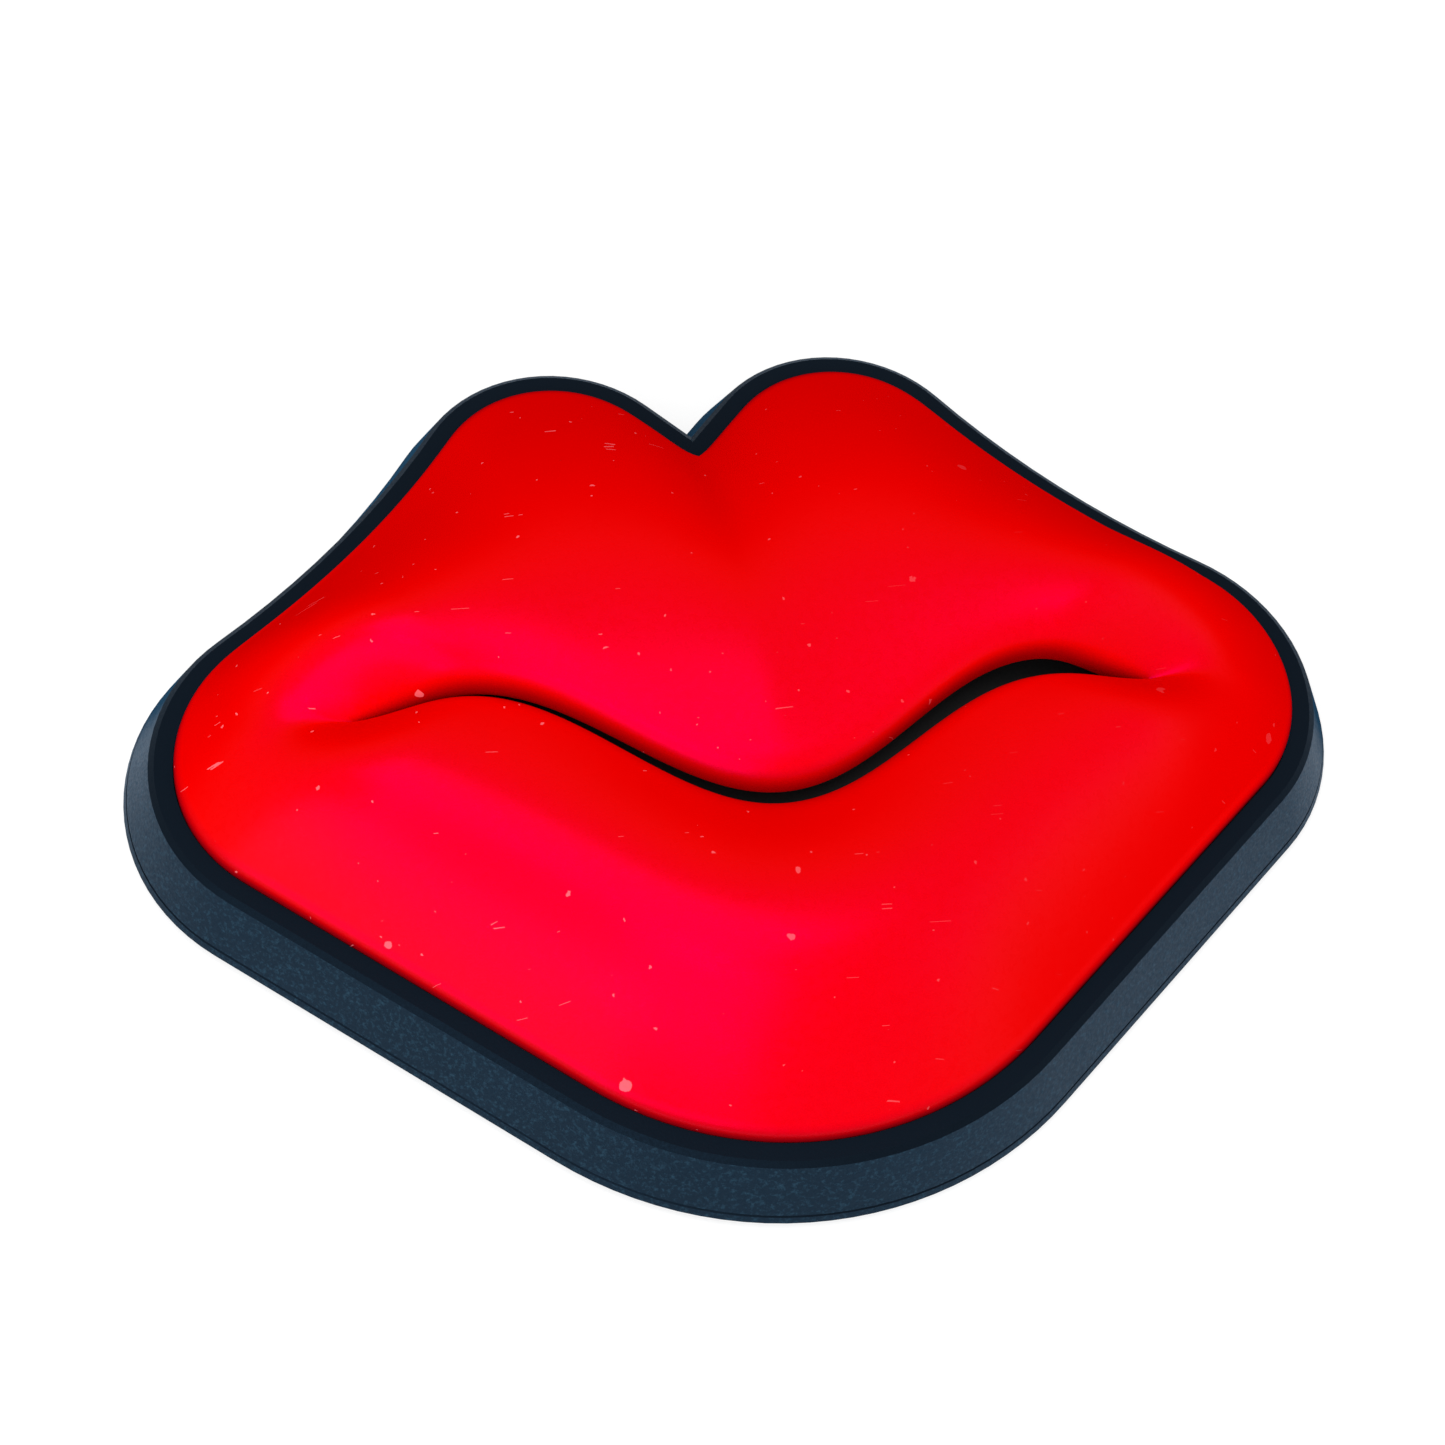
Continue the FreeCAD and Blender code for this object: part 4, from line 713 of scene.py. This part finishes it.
    def mouth_point(self, share: float, hand: int, side: int) -> np.ndarray:
        """Place in plan where a spoke meets the slit.

        Args:
            share: Place along the mouth, 0 at the centre and 1 at the corner.
            hand: 1 on the right and -1 on the left.
            side: 1, 0 or -1 on the upper lip, at the mouth corner and on the lower lip.

        Returns:
            The place.
        """
        across = hand * share * self.mouth_half_width
        gap = self.eased(self.right_gap if hand > 0 else self.left_gap, share)
        raised = gap * self.eased(self.right_gap_raised, share) if hand > 0 else 0.0
        return np.array((across, self.mouth_y(across) + raised - gap * (1 - side) / 2))

    def control_net(self) -> np.ndarray:
        """Control points of the skin.

        Returns:
            Points, one row for each spoke.
        """
        net = []
        for rim, share, hand, side in self.ring(self.spokes):
            run = self.mouth_point(share, hand, side) - rim
            unit = run / np.linalg.norm(run)
            upper = side >= 0
            row = [(*(rim - unit * self.overrun), self.lip_edge - self.overrun)]
            row += [(*(rim + run * at), self.lip_height(at, share, upper)) for at in self.stations]
            edge = self.lip_height(1.0, share, upper)
            roll = self.eased(self.edge_roll, share)
            row.append((*(rim + run - unit * self.brink), edge - roll * self.brink_drop_share))
            row.append((*(rim + run), edge - roll))
            net.append(row)
        return np.array(net)

    @staticmethod
    def clamped_basis(count: int, samples: int) -> np.ndarray:
        """Cubic B-spline basis with clamped ends and even knots.

        Args:
            count: Control points.
            samples: Places along the curve.

        Returns:
            Weights, one row for each sample.
        """
        knots = np.concatenate(([0.0] * 3, np.arange(count - 2), [count - 3.0] * 3))
        at = np.linspace(0.0, count - 3 - HAIR, samples)[:, None]
        basis = ((knots[:-1] <= at) & (at < knots[1:])).astype(float)
        for degree in (1, 2, 3):
            rise = knots[degree:-1] - knots[:-degree - 1]
            fall = knots[degree + 1:] - knots[1:-degree]
            left = np.where(rise > 0, (at - knots[:-degree - 1]) / np.where(rise > 0, rise, 1), 0)
            right = np.where(fall > 0, (knots[degree + 1:] - at) / np.where(fall > 0, fall, 1), 0)
            basis = left * basis[:, :-1] + right * basis[:, 1:]
        return basis

    def skin(self) -> tuple[np.ndarray, np.ndarray]:
        """Outer skin as columns of points from the rim to the slit.

        Returns:
            Points of each column, and the inward direction in plan at each column's rim point.
        """
        net = self.control_net()
        steps = np.arange(self.between) / self.between
        weights = np.stack(((1 - steps) ** 3, 3 * steps ** 3 - 6 * steps ** 2 + 4,
                            -3 * steps ** 3 + 3 * steps ** 2 + 3 * steps + 1, steps ** 3), 1) / 6
        around = np.stack([np.roll(net, 1 - shift, axis=0) for shift in range(4)])
        fine = np.einsum("sk,knvc->nsvc", weights, around).reshape(-1, net.shape[1], 3)
        dense = np.einsum("dv,nvc->ndc", self.clamped_basis(net.shape[1], self.samples), fine)
        columns = []
        inward = []
        for (rim, share, hand, side), line in zip(self.ring(self.spokes * self.between), dense):
            run = self.mouth_point(share, hand, side) - rim
            unit = run / np.linalg.norm(run)
            passed = (line[:, :2] - rim) @ unit
            start = np.interp(self.edge_round, passed[:self.rim_samples],
                              np.arange(self.rim_samples))
            places = np.linspace(start, len(line) - 1, self.rows)
            column = np.stack([np.interp(places, np.arange(len(line)), part) for part in line.T], 1)
            low = np.array((*rim, self.seat))
            high, brow = (np.array((*rim, column[0, 2] - drop * self.edge_round))
                          for drop in self.edge_drop)
            turns = np.linspace(0.0, 1.0, self.edge_rows)[:-1, None]
            bend = (1 - turns) ** 2 * high + 2 * turns * (1 - turns) * brow + turns ** 2 * column[0]
            columns.append(np.vstack((low, bend, column)))
            inward.append(unit)
        return np.array(columns), np.array(inward)

    def slit_shade(self, outer: np.ndarray) -> np.ndarray:
        """How far each point of the skin lies in the shade of the slit.

        Args:
            outer: Points of each column of the skin, from the rim to the slit.

        Returns:
            Shade, 1 at the slit and 0 at the end of the shaded band.
        """
        steps = np.linalg.norm(np.diff(outer, axis=1), axis=2)[:, ::-1]
        away = np.concatenate((np.zeros((len(outer), 1)), np.cumsum(steps, axis=1)), 1)[:, ::-1]
        sides = np.array([side for _, _, _, side in self.ring(self.spokes * self.between)])
        width = np.where(sides >= 0, self.upper_shade_width, self.lower_shade_width)
        return np.clip(1 - away / width[:, None], 0, 1)

    def build(self, material: Material) -> Object:
        """Makes the closed shell with its screw pillars.

        Args:
            material: Finish of the shell.

        Returns:
            The shell as a piece that stands for its CAD node.
        """
        outer, inward = self.skin()
        picks = np.linspace(outer.shape[1] - 1, self.edge_rows, self.inner_rows).round().astype(int)
        inner = outer[:, picks].copy()
        depth = np.full(self.inner_rows, self.wall)
        depth[0] = self.slit_lip
        inner[:, :, 2] -= depth[None, :]
        inner[:, -1, :2] = outer[:, 0, :2] + inward * self.wall
        inner[:, -2, :2] = np.where(
            (np.abs(((inner[:, -2, :2] - outer[:, 0, :2]) * inward).sum(1)) < self.wall)[:, None],
            inner[:, -1, :2] + inward * self.foot_step, inner[:, -2, :2])
        foot = inner[:, -1].copy()
        foot[:, 2] = self.seat
        grid = np.concatenate((outer, inner, foot[:, None]), 1)
        around, rows = grid.shape[:2]
        numbers = np.arange(around * rows).reshape(around, rows)
        ahead = np.roll(numbers, -1, axis=0)
        nexts = np.roll(numbers, -1, axis=1)
        ahead_nexts = np.roll(ahead, -1, axis=1)
        faces = np.stack((numbers, nexts, ahead_nexts, ahead), -1).reshape(-1, 4)
        mesh = bpy.data.meshes.new("lip_shell")
        mesh.from_pydata((grid.reshape(-1, 3) * MM).tolist(), [], faces.tolist())
        shaped = bmesh.new()
        shaped.from_mesh(mesh)
        bmesh.ops.recalc_face_normals(shaped, faces=shaped.faces)
        for x, y in self.pillars:
            for sign in (1, -1):
                away = np.linalg.norm(outer[..., :2] - (sign * x, y), axis=2)
                top = outer[away < self.pillar_radius + self.wall / 2][:, 2].min() - self.wall / 2
                middle = Vector((sign * x, y, (top + self.pillar_bottom) / 2)) * MM
                radius = self.pillar_radius * MM
                bmesh.ops.create_cone(
                    shaped, cap_ends=True, segments=self.pillar_sides, radius1=radius,
                    radius2=radius, depth=(top - self.pillar_bottom) * MM,
                    matrix=Matrix.Translation(middle))
        shaped.to_mesh(mesh)
        shaped.free()
        # How strongly each point gets the painted slit shade; the inner rows and the pillars take
        # it fully
        shade = np.ones(len(mesh.vertices))
        shade[:around * rows].reshape(around, rows)[:, :outer.shape[1]] = self.slit_shade(outer)
        mesh.attributes.new(SLIT_SHADE, "FLOAT", "POINT").data.foreach_set("value", shade)
        piece = smooth_piece("lip_shell", mesh, material, self.crease_deg)
        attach(piece, "base")
        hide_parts("lips_shell")
        LOG.info("lip_shell: %d faces", len(mesh.polygons))
        return piece


# Underside

@dataclass
class KeyLegends:
    """Printed figures on the keys, read with the ear end up. Sizes are in millimetres."""

    height: float = 6.2
    small_height: float = 4.6
    size_per_height: float = 1.4
    ink_depth: float = 0.05

    SMALL = "R»×"
    FIGURES = {"key_" + digit: digit for digit in "123456789"} | {
        "key_star": "*", "key_0": "0", "key_hash": "#",
        "key_flash": "R", "key_redial": "»", "key_mute": "×"}

    def legend(self, node: str, text: str, material: Material) -> Object:
        """Makes the figure of one key as a flat mesh on the key's face.

        Args:
            node: CAD node of the key, which is also its body.
            text: Figure.
            material: Ink.

        Returns:
            The printed figure.
        """
        low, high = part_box(node)
        curve = bpy.data.curves.new("figure", "FONT")
        curve.body = text
        curve.align_x = "CENTER"
        height = self.small_height if text in self.SMALL else self.height
        curve.size = height * MM * self.size_per_height
        curve.extrude = self.ink_depth * MM
        mesh = curve_mesh(curve)
        points = np.array([v.co for v in mesh.vertices])
        middle = (points.min(0) + points.max(0)) / 2
        face = Matrix(((0, -1, 0), (-1, 0, 0), (0, 0, -1))).to_4x4()
        place = Matrix.Translation(((low.x + high.x) / 2, (low.y + high.y) / 2, low.z))
        mesh.transform(place @ face @ Matrix.Translation((-middle[0], -middle[1], 0.0)))
        piece = put(node + "_figure", mesh, material)
        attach(piece, node)
        return piece

    def build(self, material: Material) -> list[Object]:
        """Prints every key.

        Args:
            material: Ink.

        Returns:
            The figures.
        """
        made = [self.legend(node, text, material) for node, text in self.FIGURES.items()]
        LOG.info("key figures: %d", len(made))
        return made


@dataclass
class KeypadMat:
    """Rubber mat over the keys: a holed sheet, and a hollow dome for each key.

    Sizes and places are in millimetres, unless they say otherwise.
    """

    sheet: float = 0.8
    sheet_corner: float = 2.0
    edge_round: float = 0.12
    foot_sunk: float = 0.1
    foot_radius: float = 3.6
    tip_radius: float = 2.4
    tip_round: float = 0.3
    tip_cut: float = 0.3
    hole_radius: float = 1.6
    chamber_radius: float = 1.5
    chamber_depth: float = 0.8
    segments: int = 40
    kept_share: float = 0.3
    crease_deg: float = 40.0

    def circle(self, x: float, y: float, radius: float) -> np.ndarray:
        """Points round a centre."""
        turns = np.linspace(0, 2 * math.pi, self.segments, endpoint=False)
        return np.stack((x + radius * np.cos(turns), y + radius * np.sin(turns)), 1)

    def plate(self, low: Vector, high: Vector, centres: Sequence[Pair]) -> Mesh:
        """Makes the flat sheet with a hole over each dome.

        Args:
            low: Lowest corner of the mat, in metres.
            high: Highest corner of the mat, in metres.
            centres: Middle of each key in plan.

        Returns:
            Mesh in place.
        """
        curve = bpy.data.curves.new("mat_sheet", "CURVE")
        curve.dimensions = "2D"
        curve.fill_mode = "BOTH"
        curve.extrude = (self.sheet / 2 - self.edge_round) * MM
        curve.bevel_depth = self.edge_round * MM
        curve.offset = -self.edge_round * MM
        corner = self.circle(0.0, 0.0, self.sheet_corner)
        outline = corner + np.where(corner > -HAIR, np.array(high.xy) / MM - self.sheet_corner,
                                    np.array(low.xy) / MM + self.sheet_corner)
        for loop in [outline] + [self.circle(x, y, self.hole_radius) for x, y in centres]:
            spline = curve.splines.new("POLY")
            spline.points.add(len(loop) - 1)
            spline.use_cyclic_u = True
            for point, (x, y) in zip(spline.points, loop * MM):
                point.co = (x, y, 0.0, 1.0)
        mesh = curve_mesh(curve)
        mesh.transform(Matrix.Translation((0.0, 0.0, high.z - self.sheet / 2 * MM)))
        return mesh

    def dome(self, x: float, y: float, tip: float, foot: float) -> Mesh:
        """Makes one hollow dome as a turned form.

        Args:
            x: Middle of the key along the object.
            y: Middle of the key across the object.
            tip: Height of the tip over the table.
            foot: Height of the sheet's underside.

        Returns:
            Mesh in place.
        """
        lean = (self.foot_radius - self.tip_radius) / (foot - tip)
        side = self.tip_radius + lean * self.tip_round
        profile = (
            (self.chamber_radius, foot - self.chamber_depth),
            (self.chamber_radius, foot + self.foot_sunk), (self.foot_radius, foot + self.foot_sunk),
            (self.foot_radius, foot), (side, tip + self.tip_round),
            (side - self.tip_round * self.tip_cut, tip + self.tip_round * self.tip_cut),
            (side - self.tip_round, tip))
        form = bmesh.new()
        rings = [[form.verts.new(np.array((*point, height)) * MM)
                  for point in self.circle(x, y, radius)] for radius, height in profile]
        for inner, outer in zip(rings, rings[1:]):
            for at in range(self.segments):
                form.faces.new((inner[at - 1], inner[at], outer[at], outer[at - 1]))
        form.faces.new(rings[0])
        form.faces.new(rings[-1])
        bmesh.ops.recalc_face_normals(form, faces=form.faces)
        mesh = bpy.data.meshes.new("mat_dome")
        form.to_mesh(mesh)
        form.free()
        return mesh

    def build(self, material: Material) -> list[Object]:
        """Makes the sheet and its domes.

        Args:
            material: Rubber.

        Returns:
            The sheet, then the domes.
        """
        low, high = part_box("keypad_mat")
        foot = high.z / MM - self.sheet
        centres = {}
        for node in KeyLegends.FIGURES:
            middle = sum(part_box(node), Vector()) / 2 / MM
            centres[node] = (middle.x, middle.y)
        meshes = {"keypad_mat_sheet": self.plate(low, high, list(centres.values()))}
        for node, (x, y) in centres.items():
            meshes[node + "_dome"] = self.dome(x, y, low.z / MM, foot)
        made = []
        for name, mesh in meshes.items():
            piece = smooth_piece(name, mesh, material, self.crease_deg)
            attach(piece, "base")
            made.append(piece)
        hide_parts("keypad_mat")
        for piece, (node, (x, y)) in zip(made[1:], centres.items()):
            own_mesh(piece)
        LOG.info("keypad mat: %d pieces", len(made))
        return made


@dataclass
class EarGauze:
    """Dust gauze behind the ear holes: threads both ways on a disc. Sizes are in millimetres."""

    radius: float = 11.0
    pitch: float = 0.7
    thread: float = 0.22
    level: float = 4.2

    def tree(self, material: Material) -> NodeTree:
        """Tree that lays threads side by side, each as long as its chord of the disc.

        Args:
            material: Finish of the thread.

        Returns:
            Geometry node group with inputs for the disc's radius, and the thread's pitch and width.
        """
        tree = bpy.data.node_groups.new("ear_gauze", "GeometryNodeTree")
        for label in ("Radius", "Pitch", "Thread"):
            tree.interface.new_socket(label, in_out="INPUT", socket_type="NodeSocketFloat")
        tree.interface.new_socket("Geometry", in_out="OUTPUT", socket_type="NodeSocketGeometry")
        sizes = add(tree, "NodeGroupInput").outputs
        place = add(tree, "ShaderNodeSeparateXYZ", (add(tree, "GeometryNodeInputPosition"),))
        known = {"radius": sizes["Radius"], "pitch": sizes["Pitch"], "across": place.outputs["Y"]}
        for name, operation, *values in (
                ("inside", "SUBTRACT", "radius", "pitch"), ("half", "DIVIDE", "inside", "pitch"),
                ("each_side", "FLOOR", "half"), ("count", "MULTIPLY_ADD", "each_side", 2.0, 1.0),
                ("reach", "MULTIPLY", "each_side", "pitch"), ("start", "MULTIPLY", "reach", -1.0),
                ("across_square", "POWER", "across", 2.0), ("square", "POWER", "radius", 2.0),
                ("rest", "SUBTRACT", "square", "across_square"),
                ("half_chord", "POWER", "rest", 0.5), ("chord", "MULTIPLY", "half_chord", 2.0)):
            values = [known.get(value, value) for value in values]
            known[name] = add(tree, MATH, values, operation=operation).outputs[0]
        start = add(tree, XYZ, {"Y": known["start"]})
        step = add(tree, XYZ, {"Y": sizes["Pitch"]})
        line = add(tree, "GeometryNodeMeshLine", {
            "Count": known["count"], "Start Location": start, "Offset": step})
        scale = add(tree, XYZ, (known["chord"], sizes["Thread"], sizes["Thread"]))
        bar = add(tree, "GeometryNodeMeshCube", {"Size": (1.0, 1.0, 1.0)})
        laid = add(tree, "GeometryNodeInstanceOnPoints", {
            "Points": line, "Instance": bar, "Scale": scale})
        lift = add(tree, XYZ, {"Z": sizes["Thread"]})
        crossed = add(tree, "GeometryNodeTransform", {
            "Geometry": laid, "Translation": lift, "Rotation": (0.0, 0.0, math.pi / 2)})
        both = add(tree, "GeometryNodeJoinGeometry", (laid,))
        tree.links.new(crossed.outputs[0], both.inputs[0])
        real = add(tree, "GeometryNodeRealizeInstances", (both,))
        dressed = add(tree, "GeometryNodeSetMaterial", {0: real, "Material": material})
        add(tree, "NodeGroupOutput", (dressed,))
        return tree

    def build(self, material: Material) -> Object:
        """Makes the gauze as a plain mesh under the receiver.

        Args:
            material: Finish of the thread.

        Returns:
            The gauze.
        """
        low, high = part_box("receiver_gasket")
        maker = put("gauze_maker", bpy.data.meshes.new("gauze_maker"))
        modifier = maker.modifiers.new("ear_gauze", "NODES")
        modifier.node_group = self.tree(material)
        sizes = {"Radius": self.radius, "Pitch": self.pitch, "Thread": self.thread}
        for item in modifier.node_group.interface.items_tree:
            if item.in_out == "INPUT":
                modifier[item.identifier] = sizes[item.name] * MM
        graph = bpy.context.evaluated_depsgraph_get()
        mesh = bpy.data.meshes.new_from_object(maker.evaluated_get(graph))
        bpy.data.objects.remove(maker)
        mesh.transform(Matrix.Translation((
            (low.x + high.x) / 2, (low.y + high.y) / 2, self.level * MM)))
        piece = put("ear_gauze", mesh)
        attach(piece, "base")
        LOG.info("ear_gauze: %d faces", len(mesh.polygons))
        return piece


# Studio

@dataclass
class Studio:
    """Pale floor, soft lamps and the camera at the photograph's angle. Sizes are in metres."""

    elevation: float = 57.74
    azimuth: float = -18.35
    roll: float = 10.58
    distance: float = 0.4888
    target: Triple = (-0.0020, 0.00925, 0.0015)
    focal_pixels: float = 2800.0
    sensor: float = 36.0
    clip: Pair = (0.01, 200.0)
    lamp_aim: Triple = (0.0, 0.0, 0.02)
    floor_side: float = 60.0
    floor_colour: str = "E6E6E6"
    floor_dim: str = "AAAAAA"
    floor_glow: float = 0.68
    ambient: float = 0.38

    LAMPS = (
        # name, place, side, watts, whether gloss shows it
        ("top_lamp", (-0.16, -0.10, 0.95), 0.7, 4.2, True),
        ("front_lamp", (-0.36, -0.60, 0.65), 0.66, 3.6, True),
        ("low_lamp", (-0.78, -0.50, 0.34), 0.5, 1.4, True),
        ("side_lamp", (0.85, -0.3, 0.45), 0.8, 2.2, False),
        ("under_lamp", (-0.15, -0.2, -0.8), 0.9, 7.0, True),
    )

    def camera(self) -> None:
        """Sets the camera up with the photograph's direction, roll and field of view."""
        rise, side, roll = (math.radians(a) for a in (self.elevation, self.azimuth, self.roll))
        level = math.cos(rise)
        back = Vector((math.sin(side) * level, -math.cos(side) * level, math.sin(rise)))
        right = Vector((0, 0, 1)).cross(back).normalized()
        up = back.cross(right)
        turned = right * math.cos(roll) + up * math.sin(roll)
        upright = up * math.cos(roll) - right * math.sin(roll)
        data = bpy.data.cameras.new("camera")
        data.sensor_width = self.sensor
        data.lens = self.sensor * self.focal_pixels / PHOTO_SIDE
        data.clip_start, data.clip_end = self.clip
        eye = put("camera", data)
        place = Matrix((turned, upright, back)).transposed().to_4x4()
        place.translation = back * self.distance + Vector(self.target)
        eye.matrix_world = place
        bpy.context.scene.camera = eye

    def lamps(self) -> None:
        """Hangs the soft square lamps, each aimed at the object."""
        for name, place, side, watts, glossy in self.LAMPS:
            data = bpy.data.lights.new(name, "AREA")
            data.size = side
            data.energy = watts
            lamp = put(name, data)
            lamp.visible_glossy = glossy
            lamp.location = place
            aim = Vector(self.lamp_aim) - Vector(place)
            lamp.rotation_euler = aim.to_track_quat("-Z", "Y").to_euler()

    @staticmethod
    def shown(tree: NodeTree) -> NodeSocket:
        """Tells the rays that show the background: to the eye, by reflection or through glass.

        Args:
            tree: Tree of the material.

        Returns:
            Socket, 1 for such a ray.
        """
        rays = add(tree, "ShaderNodeLightPath").outputs
        seen = rays["Is Camera Ray"]
        for kind in ("Is Glossy Ray", "Is Transmission Ray"):
            seen = add(tree, MATH, (seen, rays[kind]), operation="MAXIMUM").outputs[0]
        return seen

    def surround(self) -> None:
        """Even ambient light from all round."""
        world = bpy.data.worlds.new("studio")
        bpy.context.scene.world = world
        world.use_nodes = True
        back = world.node_tree.nodes["Background"]
        back.inputs["Color"].default_value = linear("FFFFFF")
        back.inputs["Strength"].default_value = self.ambient

    def floor(self) -> None:
        """Lays the pale floor, which shows the shadow and lets light from below through."""
        mesh = bpy.data.meshes.new("floor")
        half = self.floor_side / 2
        corners = [(-half, -half, 0), (half, -half, 0), (half, half, 0), (-half, half, 0)]
        mesh.from_pydata(corners, [], [(0, 1, 2, 3)])
        made = bpy.data.materials.new("pale_floor")
        made.use_nodes = True
        tree = made.node_tree
        tree.nodes.clear()
        plain = add(tree, "ShaderNodeBsdfDiffuse", {"Color": linear(self.floor_colour)})
        dim = add(tree, "ShaderNodeBsdfDiffuse", {"Color": linear(self.floor_dim)})
        glow = add(tree, "ShaderNodeEmission", {"Strength": self.floor_glow})
        lit = add(tree, "ShaderNodeAddShader", (dim, glow))
        upper = add(tree, "ShaderNodeMixShader", (self.shown(tree), plain, lit))
        clear = add(tree, "ShaderNodeBsdfTransparent")
        below = add(tree, MATH, (
            add(tree, "ShaderNodeNewGeometry").outputs["Backfacing"],
            add(tree, "ShaderNodeLightPath").outputs["Is Shadow Ray"]), operation="MAXIMUM")
        whole = add(tree, "ShaderNodeMixShader", (below, upper, clear))
        add(tree, "ShaderNodeOutputMaterial", {"Surface": whole})
        put("floor", mesh, made)

    def build(self) -> None:
        """Sets up the whole studio."""
        bpy.context.scene.view_settings.view_transform = "Standard"
        self.camera()
        self.lamps()
        self.surround()
        self.floor()


def main() -> None:
    """Builds the studio and dresses the telephone, piece by piece."""
    logging.basicConfig(level=logging.INFO, format="%(name)s %(message)s")
    Studio().build()
    materials = {slot.name: slot.value.material() for slot in Slot}
    CadDress().dress(materials)
    LipShell().build(materials["red_abs"])
    KeyLegends().build(INK.material())
    KeypadMat().build(materials["silicone"])
    EarGauze().build(GAUZE_THREAD.material())


if __name__ == "__main__":
    main()
